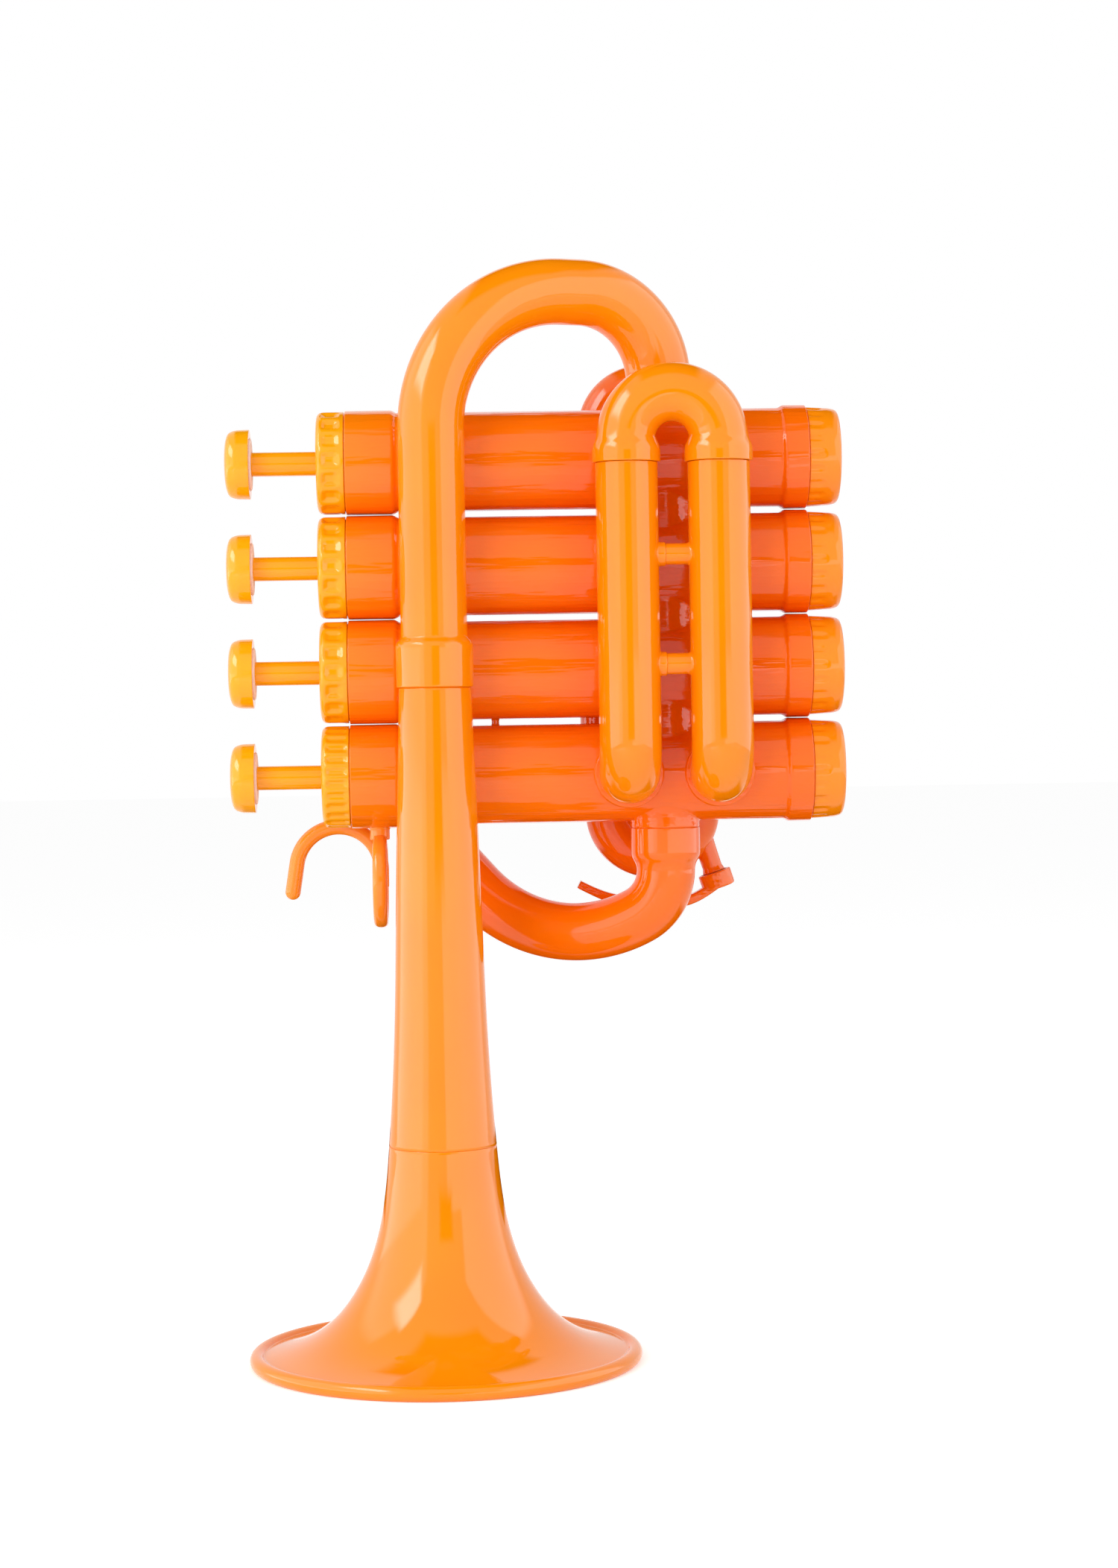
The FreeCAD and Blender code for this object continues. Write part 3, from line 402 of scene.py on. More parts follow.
# Painted light: the casings' colours are mixed towards a lighter orange at their finger ends, standing in for the
# stronger lamp on the left.
painted_light_tint = from_screen(254, 132, 6)
casing_tree = casing_orange.node_tree
casing_skin = next(node for node in casing_tree.nodes if node.type == "GROUP")
casing_x = add_node(casing_tree, "ShaderNodeSeparateXYZ", object_place(casing_tree)).outputs[0]
painted_light_share = spread(casing_tree, casing_x, -0.045, 0.03, 1.0, 0.0)
for label in ("Colour", "Cloud Colour"):
    own = tuple(casing_skin.inputs[label].default_value)
    put(casing_skin.inputs[label], mixed(casing_tree, painted_light_share, own, painted_light_tint))
print("plastics:", [m.name for m in bpy.data.materials if "plastic" in m.name])

# %% [markdown]
# ## Felt, cork, steel and the pistons
# A few small pieces aren't orange: the felt washers that quiet the buttons, the cork in the water key,
# its steel pin, the springs, and the pale pistons inside the casings. Each has its own pattern: fibres,
# crumbs, drawn lines along the wire, and the rings that a lathe leaves.

# %% Mix the other finishes


def pressed_felt():
    """Fibres and tufts: a fine noise gives the colour, and a height together with a coarser noise."""
    material, tree, shader = finish("pink_felt", "felt", Roughness=0.95, Sheen_Weight=0.3, Sheen_Roughness=0.5)
    place = object_place(tree)
    fibres, tufts = noise(tree, place, 2600.0, 5.0, 0.7), noise(tree, place, 500.0)
    put(shader.inputs["Base Color"], mixed(tree, fibres, from_screen(253, 228, 218), from_screen(255, 246, 242)))
    put(shader.inputs["Normal"], bumped(tree, tufts, 0.0001, bumped(tree, fibres, 0.00006)))
    return material


def pressed_cork():
    """Crumbs: the cells of a Voronoi pattern, each with its own brown and a height from its middle."""
    material, tree, shader = finish("pressed_cork", "cork", Roughness=0.85)
    crumbs = add_node(tree, "ShaderNodeTexVoronoi", object_place(tree), Scale=1800.0).outputs
    tone = add_node(tree, "ShaderNodeSeparateColor", crumbs["Color"]).outputs[0]
    put(shader.inputs["Base Color"], mixed(tree, tone, from_screen(190, 138, 88), from_screen(226, 186, 136)))
    put(shader.inputs["Normal"], bumped(tree, crumbs["Distance"], 0.0001))
    return material


def lined(name, slot, colour, second, metallic, gloss, stretch, scale, depth):
    """Fine lines: a noise that is squeezed across the lines and drawn out along them."""
    material, tree, shader = finish(name, slot, Metallic=metallic)
    drawn = add_node(tree, "ShaderNodeMapping", object_place(tree), Scale=stretch).outputs[0]
    lines = noise(tree, drawn, scale, 3.0)
    put(shader.inputs["Base Color"], mixed(tree, lines, from_screen(*colour), from_screen(*second)))
    put(shader.inputs["Roughness"], spread(tree, lines, 0.3, 0.7, gloss * 0.8, gloss * 1.3))
    put(shader.inputs["Normal"], bumped(tree, lines, depth))
    return material


felt, cork = pressed_felt(), pressed_cork()
spring_steel = lined("drawn_spring_steel", "spring_steel", (196, 198, 202), (168, 170, 176),
                     1.0, 0.3, (1, 0.05, 0.05), 900.0, 0.00002)
pin_steel = lined("ground_pin_steel", "pin_steel", (190, 192, 196), (172, 174, 180),
                  1.0, 0.25, (1, 0.06, 1), 900.0, 0.00001)
piston_plastic = lined("turned_piston_plastic", None, (226, 224, 214), (212, 209, 198),
                       0.0, 0.35, (1, 0.04, 0.04), 1400.0, 0.00002)
print("materials:", len(bpy.data.materials))

# %% [markdown]
# ## A profile carried along a path
# Nearly all of this instrument is tube: straight, tapered, bent, or stepped where one tube socket fits
# over another. One idea makes them all. A profile gives, for each distance along a path, how far the
# surface stands from the path. The path gives where that is and which way it points. A turned knob is the
# same thing on a straight path. The profile goes out along the outside and comes back along the bore, so
# that the wall is closed.

# %% Paths of straight runs and bends


def beside(heading):
    """A unit vector square to a heading."""
    return unit(np.cross(heading, X if abs(heading[0]) < 0.9 else Y))


def path(start, heading, steps, normal=Z):
    """Stretches of a path. A step is (degrees, size) or (degrees, size, normal): a run of that length when
    the degrees are 0, and otherwise a bend of that radius about the normal."""
    place, heading = np.array(start, float), np.array(heading, float)
    side = beside(heading)
    stretches = []
    for degrees, size, *own_normal in steps:
        axis = np.array(own_normal[0] if own_normal else normal, float) * (-1 if degrees < 0 else 1)
        angle = np.radians(abs(degrees))
        length = size * angle if angle else size
        stretches.append((place, heading, side, axis, angle, length, size))
        place, heading, side = (row[0] for row in along(stretches[-1:], np.array([length])))
    return stretches


def along(stretches, distances):
    """Place, heading and side at each distance. On a run the place is start + heading x distance. On a bend
    of radius R about n, with w = n x heading, it is start + heading R sin a + w R (1 - cos a), and the
    heading and side turn by a about n. Beyond either end the path goes straight on."""
    distances = np.asarray(distances, float)
    ends = np.cumsum([s[5] for s in stretches])
    which = np.minimum(np.searchsorted(ends, distances, side="left"), len(stretches) - 1)
    places, headings, sides = (np.zeros((len(distances), 3)) for _ in range(3))
    for k, (place, heading, side, axis, angle, length, size) in enumerate(stretches):
        chosen = which == k
        local = distances[chosen] - (ends[k] - length)
        turned = np.clip(local / length, 0, 1) * angle
        cos, sin = np.cos(turned)[:, None], np.sin(turned)[:, None]
        across = np.cross(axis, heading)
        headings[chosen] = heading * cos + across * sin
        if angle:
            over = (local - np.clip(local, 0, length))[:, None]
            bent = heading * size * sin + across * size * (1 - cos)
            places[chosen] = place + bent + headings[chosen] * over
            sides[chosen] = side * cos + np.cross(axis, side) * sin + axis * np.dot(axis, side) * (1 - cos)
        else:
            places[chosen], sides[chosen] = place + heading * local[:, None], side
    return places, headings, sides


def path_length(stretches):
    """The sum of the stretches' lengths."""
    return sum(s[5] for s in stretches)


test_bend = path([0, 0, 0], X, [(0, 10), (90, 5)])
print("a run of 10 and a quarter bend of 5:", round(path_length(test_bend), 3))

# %% [markdown]
# ## Corners that catch the light
# A moulded edge is never quite sharp, and its small rounding is what draws the bright line along it. So a
# profile's corners are each replaced by a short curve. Two more points beside each curve keep the flat
# part next to it flat, because smooth shading would otherwise bend it.

# %% Profiles with rounded corners


def rounded(corners, closed=True, arc_points=7):
    """An outline with its corners rounded. Each row is (along, radius, rounding). With C the corner, and A and
    B the points that far from it on its two sides, the curve is (1-t)^2 A + 2t(1-t) C + t^2 B. Two roundings
    that need more than nine tenths of the side between them both give way."""
    table = np.array(corners, float)
    points, rounding = table[:, :2], table[:, 2:3]
    before, after = np.roll(points, 1, axis=0) - points, np.roll(points, -1, axis=0) - points
    far_after = np.linalg.norm(after, axis=1, keepdims=True)
    first, last = unit(before), unit(after)
    fit = np.minimum(1, 0.9 * far_after / (rounding + np.roll(rounding, -1, axis=0) + 0.001))
    rounding = rounding * np.minimum(fit, np.roll(fit, 1, axis=0))
    hold_after = np.minimum(0.35, 0.3 * (far_after - rounding - np.roll(rounding, -1, axis=0)))
    hold_before = np.roll(hold_after, 1, axis=0)
    t = np.linspace(0, 1, arc_points)[None, :, None]
    start, end = points + first * rounding, points + last * rounding
    arc = (1 - t) ** 2 * start[:, None] + 2 * t * (1 - t) * points[:, None] + t**2 * end[:, None]
    held = np.concatenate([
        (start + first * hold_before)[:, None], arc, (end + last * hold_after)[:, None]], axis=1)
    if closed:
        return held.reshape(-1, 2)
    return np.concatenate([points[:1], held[1:-1].reshape(-1, 2), points[-1:]])


def filled(outline, longest, closed=True):
    """The outline with points added on each side so that none is longer, along the path, than longest."""
    following = np.roll(outline, -1, axis=0) if closed else outline[1:]
    pieces = []
    for a, b in zip(outline, following):
        count = max(1, int(np.ceil(abs(b[0] - a[0]) / longest)))
        pieces.append(a + (b - a) * (np.arange(count) / count)[:, None])
    if not closed:
        pieces.append(outline[-1:])
    return np.concatenate(pieces)


print("a rounded square has", len(rounded([(0, 0, 1), (9, 0, 1), (9, 9, 1), (0, 9, 1)])), "points")

# %% [markdown]
# ## From rows of points to a mesh
# Rows of points round the path become quads between neighbouring points. A closed outline joins its last
# row to its first, and an outline that ends on the path itself is closed with a fan. The signed volume
# tells whether the faces point outwards, and turns them round where they don't.

# %% Rows to faces


def turns(count):
    """The angles of count points evenly round a circle."""
    return np.arange(count) * 2 * np.pi / count


def carried(outline, stretches, around=72, wave=None):
    """Rows of points: place(along) + radius (side cos a + (heading x side) sin a), for angles a right round.
    A wave takes (along, radius, angle) as grids and gives the radius there."""
    places, headings, sides = along(stretches, outline[:, 0])
    angles = turns(around)
    radius = np.repeat(outline[:, 1:2], around, axis=1)
    if wave is not None:
        radius = wave(np.repeat(outline[:, :1], around, axis=1), radius, angles[None, :])
    others = np.cross(headings, sides)
    ring = sides[:, None] * np.cos(angles)[None, :, None] + others[:, None] * np.sin(angles)[None, :, None]
    return places[:, None] + ring * radius[:, :, None]


def surface(rows, closed=True):
    """Vertices and faces of one closed surface. Rows wrap round, and either join end to end or get a fan at
    each end. The volume under each triangle, a . (b x c) / 6, adds up to less than nought if it is inside out."""
    vertices = rows.reshape(-1, 3)
    grid = np.arange(len(vertices)).reshape(rows.shape[:2])
    grid = np.pad(grid, ((0, 1 if closed else 0), (0, 1)), mode="wrap")
    quads = np.stack([grid[:-1, :-1], grid[:-1, 1:], grid[1:, 1:], grid[1:, :-1]], axis=-1).reshape(-1, 4)
    triangles = np.zeros((0, 3), int)
    if not closed:
        low, high = len(vertices), len(vertices) + 1
        vertices = np.concatenate([vertices, [rows[0].mean(0), rows[-1].mean(0)]])
        triangles = np.array([(b, a, low) for a, b in zip(grid[0], grid[0, 1:])]
                             + [(a, b, high) for a, b in zip(grid[-1], grid[-1, 1:])])
    split = np.concatenate([quads[:, [0, 1, 2]], quads[:, [0, 2, 3]], triangles])
    a, b, c = (vertices[split[:, k]] for k in range(3))
    if np.einsum("ij,ij->i", a, np.cross(b, c)).sum() < 0:
        quads, triangles = quads[:, ::-1], triangles[:, ::-1]
    return vertices, quads, triangles


def tube(corners, stretches, around=72, longest=1.5, wave=None):
    """A closed wall round a path from a table of outline corners."""
    return surface(carried(filled(rounded(corners), longest), stretches, around, wave))


def knob(corners, stretches, around=72, longest=1.5):
    """A solid form round a path: the outline starts and ends on the path and each end gets a fan."""
    outline = filled(rounded(corners, closed=False), longest, closed=False)
    return surface(carried(outline, stretches, around), closed=False)


made = {}


def piece(part, surfaces, material, body="instrument", form="moulding", node=None):
    """One object from several closed surfaces, riding on a body, in place of the CAD node that is called
    node, or else the same as the part."""
    name, node, slot = f"{part}_{form}", node or part, slots[material.name]
    offset, points, faces = 0, [], []
    for vertices, quads, triangles in surfaces:
        points.append(vertices)
        faces += (quads + offset).tolist() + (triangles + offset).tolist()
        offset += len(vertices)
    thing = add_mesh(name, in_frame(np.concatenate(points)), faces, material)
    thing.data.polygons.foreach_set("use_smooth", np.ones(len(faces), bool))
    thing.data.update()
    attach(thing, body)
    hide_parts(node)
    made[name] = len(faces)
    return thing


print("ready to make pieces")

# %% [markdown]
# ## The bell
# A bell starts as a cone and opens faster and faster to the rim. Its outline is a smooth curve through a
# few heights and widths, and the inside is the same curve moved inwards by the wall. The rim is rolled to
# a round bead, which stands proud of the skin with a fine groove behind it. The bell is moulded in two,
# a flare and a tail, and the seam between them is a hair line that needs a real chamfer on both.

# %% The bell's curve
mouth_radius, bead_radius, rim_flat = 50.5, 2.0, 0.8
seam_height, seam_radius = 55.8, 13.85
tail_height, tail_radius = 173.5, 9.3
bell_wall = 1.8
flare_shares = (
    (0.045, 1.0), (0.0824, 0.755), (0.1308, 0.5815), (0.2079, 0.4228), (0.3082, 0.2929),
    (0.4409, 0.1775), (0.6452, 0.0736),
)
tail_shares = ((0.0, 1.0), (0.2257, 0.626), (0.5, 0.395), (1.0, 0.0))


def smooth_curve(points, count):
    """A natural cubic spline. With M the second slope at each point, and a and b the shares of the way from
    the next point and the last, each stretch of length h is a P + b Q + ((a^3-a) M + (b^3-b) N) h^2 / 6."""
    points = np.array(points, float)
    steps = np.diff(points, axis=0)
    gaps = np.linalg.norm(steps, axis=1)
    knots = np.concatenate([[0], np.cumsum(gaps)])
    matrix, wanted = np.eye(len(points)), np.zeros(points.shape)
    i = np.arange(1, len(points) - 1)
    matrix[i, i - 1], matrix[i, i], matrix[i, i + 1] = gaps[i - 1], 2 * (gaps[i - 1] + gaps[i]), gaps[i]
    wanted[i] = 6 * (steps[i] / gaps[i, None] - steps[i - 1] / gaps[i - 1, None])
    second = np.linalg.solve(matrix, wanted)
    u = np.linspace(0, knots[-1], count)
    k = np.clip(np.searchsorted(knots, u, side="right") - 1, 0, len(gaps) - 1)
    h = gaps[k][:, None]
    b = (u[:, None] - knots[k][:, None]) / h
    a = 1 - b
    bend = ((a**3 - a) * second[k] + (b**3 - b) * second[k + 1]) * h**2 / 6
    return a * points[k] + b * points[k + 1] + bend


rim_radius = mouth_radius - bead_radius
bell_points = [(up * seam_height, seam_radius + out * (rim_radius - seam_radius)) for up, out in flare_shares]
bell_points += [(seam_height + up * (tail_height - seam_height), tail_radius + out * (seam_radius - tail_radius))
                for up, out in tail_shares]
bell_outside = smooth_curve(bell_points, 400)
bell_heading = unit(np.gradient(bell_outside, axis=0))
inward = np.column_stack([bell_heading[:, 1], -bell_heading[:, 0]])
bell_inside = bell_outside + inward * bell_wall
bell_axis_way = path([0, 0, 0], Z, [(0, 10)])
print("bell widths at a few heights:", np.round(bell_outside[::100], 1).tolist())

# %% The flare, with its rolled rim
bead_centre = np.array([np.sqrt(bead_radius**2 - rim_flat**2), rim_radius])
seam_gap = 0.4
seam_edge = np.array([(-0.16, 0.0), (-0.04, -0.05), (0.0, -0.2), (0.0, -bell_wall)])
seam = np.array([seam_height, seam_radius])


def clear_of_bead(curve):
    """The part of a curve below the seam and outside the bead's circle."""
    outside = np.linalg.norm(curve - bead_centre, axis=1) > bead_radius
    return curve[outside & (curve[:, 0] < seam_height - seam_gap)]


def bead_angle(point):
    """The angle of a point round the bead, from straight up towards the outside."""
    return np.arctan2(*(point - bead_centre)[::-1])


def bell_flare():
    """Outside up to the seam, a chamfer, inside down, then round the bead, whose foot is flat on the table."""
    outer, inner = clear_of_bead(bell_outside), clear_of_bead(bell_inside)[::-1]
    angles = np.linspace(bead_angle(inner[-1]) + 2 * np.pi, bead_angle(outer[0]), 48)[1:-1]
    bead = bead_centre + bead_radius * np.column_stack([np.cos(angles), np.sin(angles)])
    bead[:, 0] = np.maximum(bead[:, 0], 0)
    return surface(carried(np.concatenate([outer, seam + seam_edge, inner, bead]), bell_axis_way, 160))


piece("bell_flare", [bell_flare()], light_orange)
print("flare faces:", made["bell_flare_moulding"])

# %% The tail, with the spigot that goes into the bow's sleeve
spigot_radius, spigot_length = 8.6, 9.5


def bell_tail():
    """The seam's other chamfer, outside up to the sleeve, the spigot, and the bore back down."""
    outer = bell_outside[bell_outside[:, 0] > seam_height + seam_gap]
    inner = bell_inside[(bell_inside[:, 0] > seam_height + seam_gap) & (bell_inside[:, 0] < tail_height - 1)]
    foot = seam + seam_edge[::-1] * (-1, 1)
    bore, spigot_end = tail_radius - bell_wall, tail_height + spigot_length
    top = np.array([
        (tail_height - 0.02, tail_radius - 0.12), (tail_height, spigot_radius), (spigot_end, spigot_radius),
        (spigot_end, bore), (tail_height, bore)])
    return surface(carried(np.concatenate([foot, outer[:-1], top, inner[::-1]]), bell_axis_way, 128))


piece("bell_tail", [bell_tail()], light_orange)
print("tail faces:", made["bell_tail_moulding"])

# %% [markdown]
# ## The big bow
# The bow rises from the bell's sleeve, bends over with a wide curve and comes down into the first valve
# with a tight one. The whole of it, with its sleeve and its ferrule, is one moulding, so it is one profile
# on one path.

# %% The bow from the bell to the first valve
valve_z = {1: 233.0, 2: 205.5, 3: 178.0, 4: 150.5}
valve_y = 23.5
windway_x = 60.2
casing_radius = 13.0
boss_radius, boss_height = 9.15, 1.75
bow_height, bow_radius, bow_bore, bow_ferrule = 276.0, 8.55, 6.6, 4.4
bow_span = np.hypot(windway_x, valve_y)
bow_flat, wide_share = 5.6, 0.6188
wide_bend = (bow_span - bow_flat) * wide_share
tight_bend = bow_span - bow_flat - wide_bend
sleeve_radius, sleeve_length = 10.0, 11.2


def bell_bow():
    """A path up, a quarter bend, across, a quarter bend and down, with sleeve, tube and ferrule on it."""
    normal = np.cross(Z, unit(np.array([windway_x, valve_y, 0])))
    rise = bow_height - wide_bend - tail_height
    fall = bow_height - tight_bend - (valve_z[1] + casing_radius + boss_height)
    way = path([0, 0, tail_height], Z, [
        (0, rise), (90, wide_bend), (0, bow_flat), (90, tight_bend), (0, fall)], normal)
    end = path_length(way)
    socket, socket_radius = spigot_length + 0.05, spigot_radius + 0.02
    return tube([
        (0, sleeve_radius - 0.1, 0.35), (sleeve_length, sleeve_radius, 0.9),
        (sleeve_length + 1.5, bow_radius, 0.5), (end - bow_ferrule - 1, bow_radius, 0.4),
        (end - bow_ferrule, boss_radius, 0.5), (end, boss_radius, 0.25), (end, bow_bore, 0.2),
        (socket, bow_bore, 0.1), (socket, socket_radius, 0.1), (0, socket_radius, 0.1),
    ], way, 80, 1.2)


piece("bell_bow", [bell_bow()], light_orange)
print("bow faces:", made["bell_bow_moulding"])

# %% [markdown]
# ## Saddled stubs
# Short posts, pads and crossovers end on round casings, so their ends have to follow a cylinder. At each
# angle round the stub, the end lies where the stub's side meets the cylinder, and the last bit flares out
# as the small fillet that a mould leaves there.

# %% Stubs that end on cylinders
fillet_shape = np.array([(-0.9, 0.62), (-0.25, 0.6), (0.0, 0.42), (0.18, 0.2), (0.45, 0.05), (0.8, 0.0)])
flat_end = np.array([(0.0, -0.35), (0.05, -0.15), (0.15, -0.04), (0.35, 0.0), (0.7, 0.0), (1.0, 0.0)])


def stub(start, heading, length, radius, low=None, high=None, fillet=1.0, middle=8):
    """A round bar from start. At an end given as (cylinder radius R, direction across it), the bar starts
    where its side leaves a cylinder through that end: at sqrt(R^2 - (r e.across)^2), with e its direction
    round the bar. An end without one is flat, with a small rounding."""
    heading = np.array(heading, float)
    side = beside(heading)
    angles = turns(48)
    ring = side * np.cos(angles)[:, None] + np.cross(heading, side) * np.sin(angles)[:, None]

    def end_rows(cylinder):
        """Distance from the end and radius, a row for each point of the fillet or rounding."""
        shape = fillet_shape * fillet if cylinder else flat_end
        around = np.repeat(radius + shape[:, 1:2], len(angles), axis=1)
        if not cylinder:
            return np.repeat(shape[:, :1], len(angles), axis=1), around
        sideways = around * (ring @ np.array(cylinder[1], float))
        foot = np.sqrt(np.maximum(cylinder[0] ** 2 - sideways**2, 0.01))
        return foot + shape[:, :1], around

    low_along, low_radius = end_rows(low)
    high_along, high_radius = end_rows(high)
    high_along, high_radius = length - high_along[::-1], high_radius[::-1]
    share = (np.arange(1, middle) / middle)[:, None]
    mid_along = low_along[-1] * (1 - share) + high_along[0] * share
    along_rows = np.concatenate([low_along, mid_along, high_along])
    radius_rows = np.concatenate([low_radius, np.full(mid_along.shape, radius), high_radius])
    rows = np.array(start, float) + heading * along_rows[:, :, None] + ring * radius_rows[:, :, None]
    return surface(rows, closed=False)


print("fillet rows:", len(fillet_shape))

# %% [markdown]
# ## The valve casings
# Each casing is a turned tube with a wide collar where the top cap screws on and a narrow band at the
# other end. On top of the first and below the fourth is a round boss for the main tube, and each casing
# has two pads on its side, where its slide's legs stand.

# %% Casings, bosses and pads
band_radius = 13.7
casing_top_x, casing_length = -22.7, 121.4
collar_length, band_length = 13.4, 6.9
pad_radius, pad_height = 9.0, 1.2
front_legs_x = (50.1, 73.9)
rear_legs_x = (46.5, 70.1)
casing_bore, barrel_bore, barrel_depth = 9.0, 10.2, 41.7
screw_length, seam_step = 6.0, 0.1


def valve_axis(n, start, length):
    """A straight path along valve n's axis."""
    return path([start, valve_y, valve_z[n]], X, [(0, length)])


def valve_casing(n):
    """The turned casing, with a hair step at each end for the cap's seam, then two pads and maybe a boss."""
    rim, lip, sunk = band_radius - 0.05, band_radius - 0.7, casing_length - seam_step
    band_start, seat = casing_length - band_length, casing_length - screw_length
    surfaces = [tube([
        (0, lip, 0.05), (seam_step, lip, 0.05), (seam_step, rim, 0.25), (collar_length - 0.9, band_radius, 0.8),
        (collar_length + 0.1, casing_radius, 0.5), (band_start - 0.2, casing_radius, 0.6),
        (band_start + 0.8, band_radius, 0.6), (sunk, rim, 0.25), (sunk, lip, 0.05), (casing_length, lip, 0.05),
        (casing_length, barrel_bore, 0.2), (seat, barrel_bore, 0.1), (seat, casing_bore, 0.1),
        (barrel_depth, casing_bore, 0.1), (barrel_depth, barrel_bore, 0.1), (0, barrel_bore, 0.2),
    ], valve_axis(n, casing_top_x, casing_length), 96, 6.0)]

    def raised(x, way_out, height, radius, across):
        """A short stub that stands on the casing's side."""
        return stub([x, valve_y, valve_z[n]], way_out, casing_radius + height, radius,
                    low=(casing_radius, across), fillet=0.6, middle=2)

    side, legs_x = (-Y, front_legs_x) if n == 4 else (Y, rear_legs_x)
    surfaces += [raised(x, side, pad_height, pad_radius, Z) for x in legs_x]
    if n in (1, 4):
        surfaces.append(raised(windway_x, Z if n == 1 else -Z, boss_height, boss_radius, Y))
    return surfaces


for n in valve_z:
    piece(f"valve_casing_{n}", valve_casing(n), casing_orange)
for n in (1, 2, 3):
    crossing = stub([windway_x, valve_y, valve_z[n + 1]], Z, valve_z[n] - valve_z[n + 1], boss_radius - 0.02,
                    (casing_radius, Y), (casing_radius, Y), 0.7, 4)
    piece(f"crossover_{n}_{n + 1}", [crossing], deep_orange)
print("casing faces:", made["valve_casing_4_moulding"])

# %% [markdown]
# ## The caps
# A finger cap is gripped, so soft flutes run along it from its rounded edge to the seam. A flute is a wide
# scoop with round ends, and a narrow ridge stands between two scoops. The radius therefore takes a wave
# round the axis, which fades out near the cap's face and at the seam. The fourth valve's cap has finer
# flutes than the other three. The lower caps taper and only have short notches at the seam.

# %% Fluted top caps
top_cap_radius, top_cap_height, cap_face = 13.45, 7.4, 3.2
bottom_cap_height, vent_radius, bottom_face = 8.5, 1.2, 2.9
screw_radius, skirt_bore, seam_lip = 10.18, 8.78, 12.85
stem_radius = 3.15
fluted_from = 11.6
coarse_flutes, fine_flutes = (16, 0.85, 0.7, 2.3, 2.1, 0.8), (26, 0.6, 0.25, 1.4, 1.6, 0.1)
uneven = np.random.default_rng(4)


def eased(value, low, high):
    """0 below low and 1 above high, with 3t^2 - 2t^3 between them."""
    t = np.clip((value - low) / (high - low), 0, 1)
    return t * t * (3 - 2 * t)


def flutes(count, depth, flat, width, edge, start, end, faintest):
    """A wave of count hollows. With d the distance round the cap from a hollow's middle, the radius drops by
    depth where d < flat and eases back to nothing at d = width. Along the cap the hollow eases in over the
    edge's length after start, and out before end. Each has its own strength. Points nearer the axis than
    fluted_from stay."""
    strengths = uneven.uniform(faintest, 1.1, count)

    def wave(along_grid, radius, angles):
        turn = angles * count / (2 * np.pi)
        nearest = np.round(turn)
        distance = np.abs(turn - nearest) * 2 * np.pi / count * radius
        hollow = (1 - eased(distance, flat, width)) * strengths[nearest.astype(int) % count]
        window = eased(along_grid, start, start + edge) * (1 - eased(along_grid, end - edge, end))
        return radius - depth * hollow * window * (radius > fluted_from)
    return wave


def top_cap(n):
    """A cup with a stem hole, rounded at its face. Its flutes run out before the seam, the fine ones at it."""
    *shape, rest = fine_flutes if n == 4 else coarse_flutes
    hole, end = stem_radius + 0.3, top_cap_height + screw_length
    return tube([
        (0, hole, 0.25), (0, top_cap_radius, 2.1), (top_cap_height - seam_step, top_cap_radius, 0.25),
        (top_cap_height - seam_step, seam_lip, 0.05), (top_cap_height, seam_lip, 0.05),
        (top_cap_height, screw_radius, 0.1), (end, screw_radius, 0.2), (end, skirt_bore, 0.2),
        (cap_face, skirt_bore, 0.2), (cap_face, hole, 0.1),
    ], valve_axis(n, casing_top_x - top_cap_height, top_cap_height), 320, 0.25,
        flutes(*shape, 0.8, top_cap_height - rest, 0.75))


def bottom_cap(n):
    """A tapering cap with a vent hole, and short notches that fade out before its rounded edge."""
    lip, end = seam_lip - 0.15, bottom_cap_height
    return tube([
        (seam_step, 13.1, 0.25), (end - 2.2, 12.75, 1.0), (end, 12.2, 1.6), (end, vent_radius, 0.2),
        (bottom_face, vent_radius, 0.1), (bottom_face, 9.3, 0.3), (-screw_length, 9.3, 0.2),
        (-screw_length, screw_radius, 0.2), (0, screw_radius, 0.1), (0, lip, 0.05), (seam_step, lip, 0.05),
    ], valve_axis(n, casing_top_x + casing_length, end), 192, 0.4, flutes(20, 0.45, 0.3, 1.2, 2.4, -1.5, 4.8, 0.6))


for n in valve_z:
    piece(f"top_cap_{n}", [top_cap(n)], yellow_orange)
    piece(f"bottom_cap_{n}", [bottom_cap(n)], bottom_orange)
print("cap faces:", made["top_cap_1_moulding"], made["bottom_cap_1_moulding"])

# %% [markdown]
# ## Buttons, felts and stems
# A finger button is a pillow: its face is a little domed, its front edge is round and its back is flat,
# with the felt washer sitting against it. The stem goes on into the cap, so when a valve is pressed the
# button comes down to the cap and the stem runs inside.

# %% What the fingers touch
travel, play = 16.9, 0.3
felt_height, stop_height = 0.9, 2.6
felt_face_x = casing_top_x - top_cap_height - play - travel
button_seat_x = felt_face_x - felt_height
button_height, button_radius, button_rim = 6.2, 9.15, 0.5
screw_hole, stem_screw, stem_screw_depth = 2.02, 2.0, 3.58
barrel_top_x = casing_top_x - top_cap_height + cap_face + play + stop_height
fuzz_depth, fuzz_sines, fuzz_from = 0.1, 7, 5


def finger_button(n):
    """The domed face, the round edge, the rim round the felt, the flat back and the stem's screw hole."""
    rim, floor_of_hole = button_height + button_rim, button_height - stem_screw_depth - 0.02
    return knob([
        (0.0, 0.0, 0), (0.04, 3.0, 2.0), (0.35, 6.4, 1.6), (1.1, 8.35, 1.5), (3.0, button_radius - 0.1, 1.6),
        (rim, button_radius, 0.2), (rim, 7.0, 0.2), (button_height, 6.95, 0.1),
        (button_height, screw_hole, 0.15), (floor_of_hole, screw_hole, 0.1), (floor_of_hole, 0.0, 0),
    ], valve_axis(n, button_seat_x - button_height, button_height), 96, 1.0)


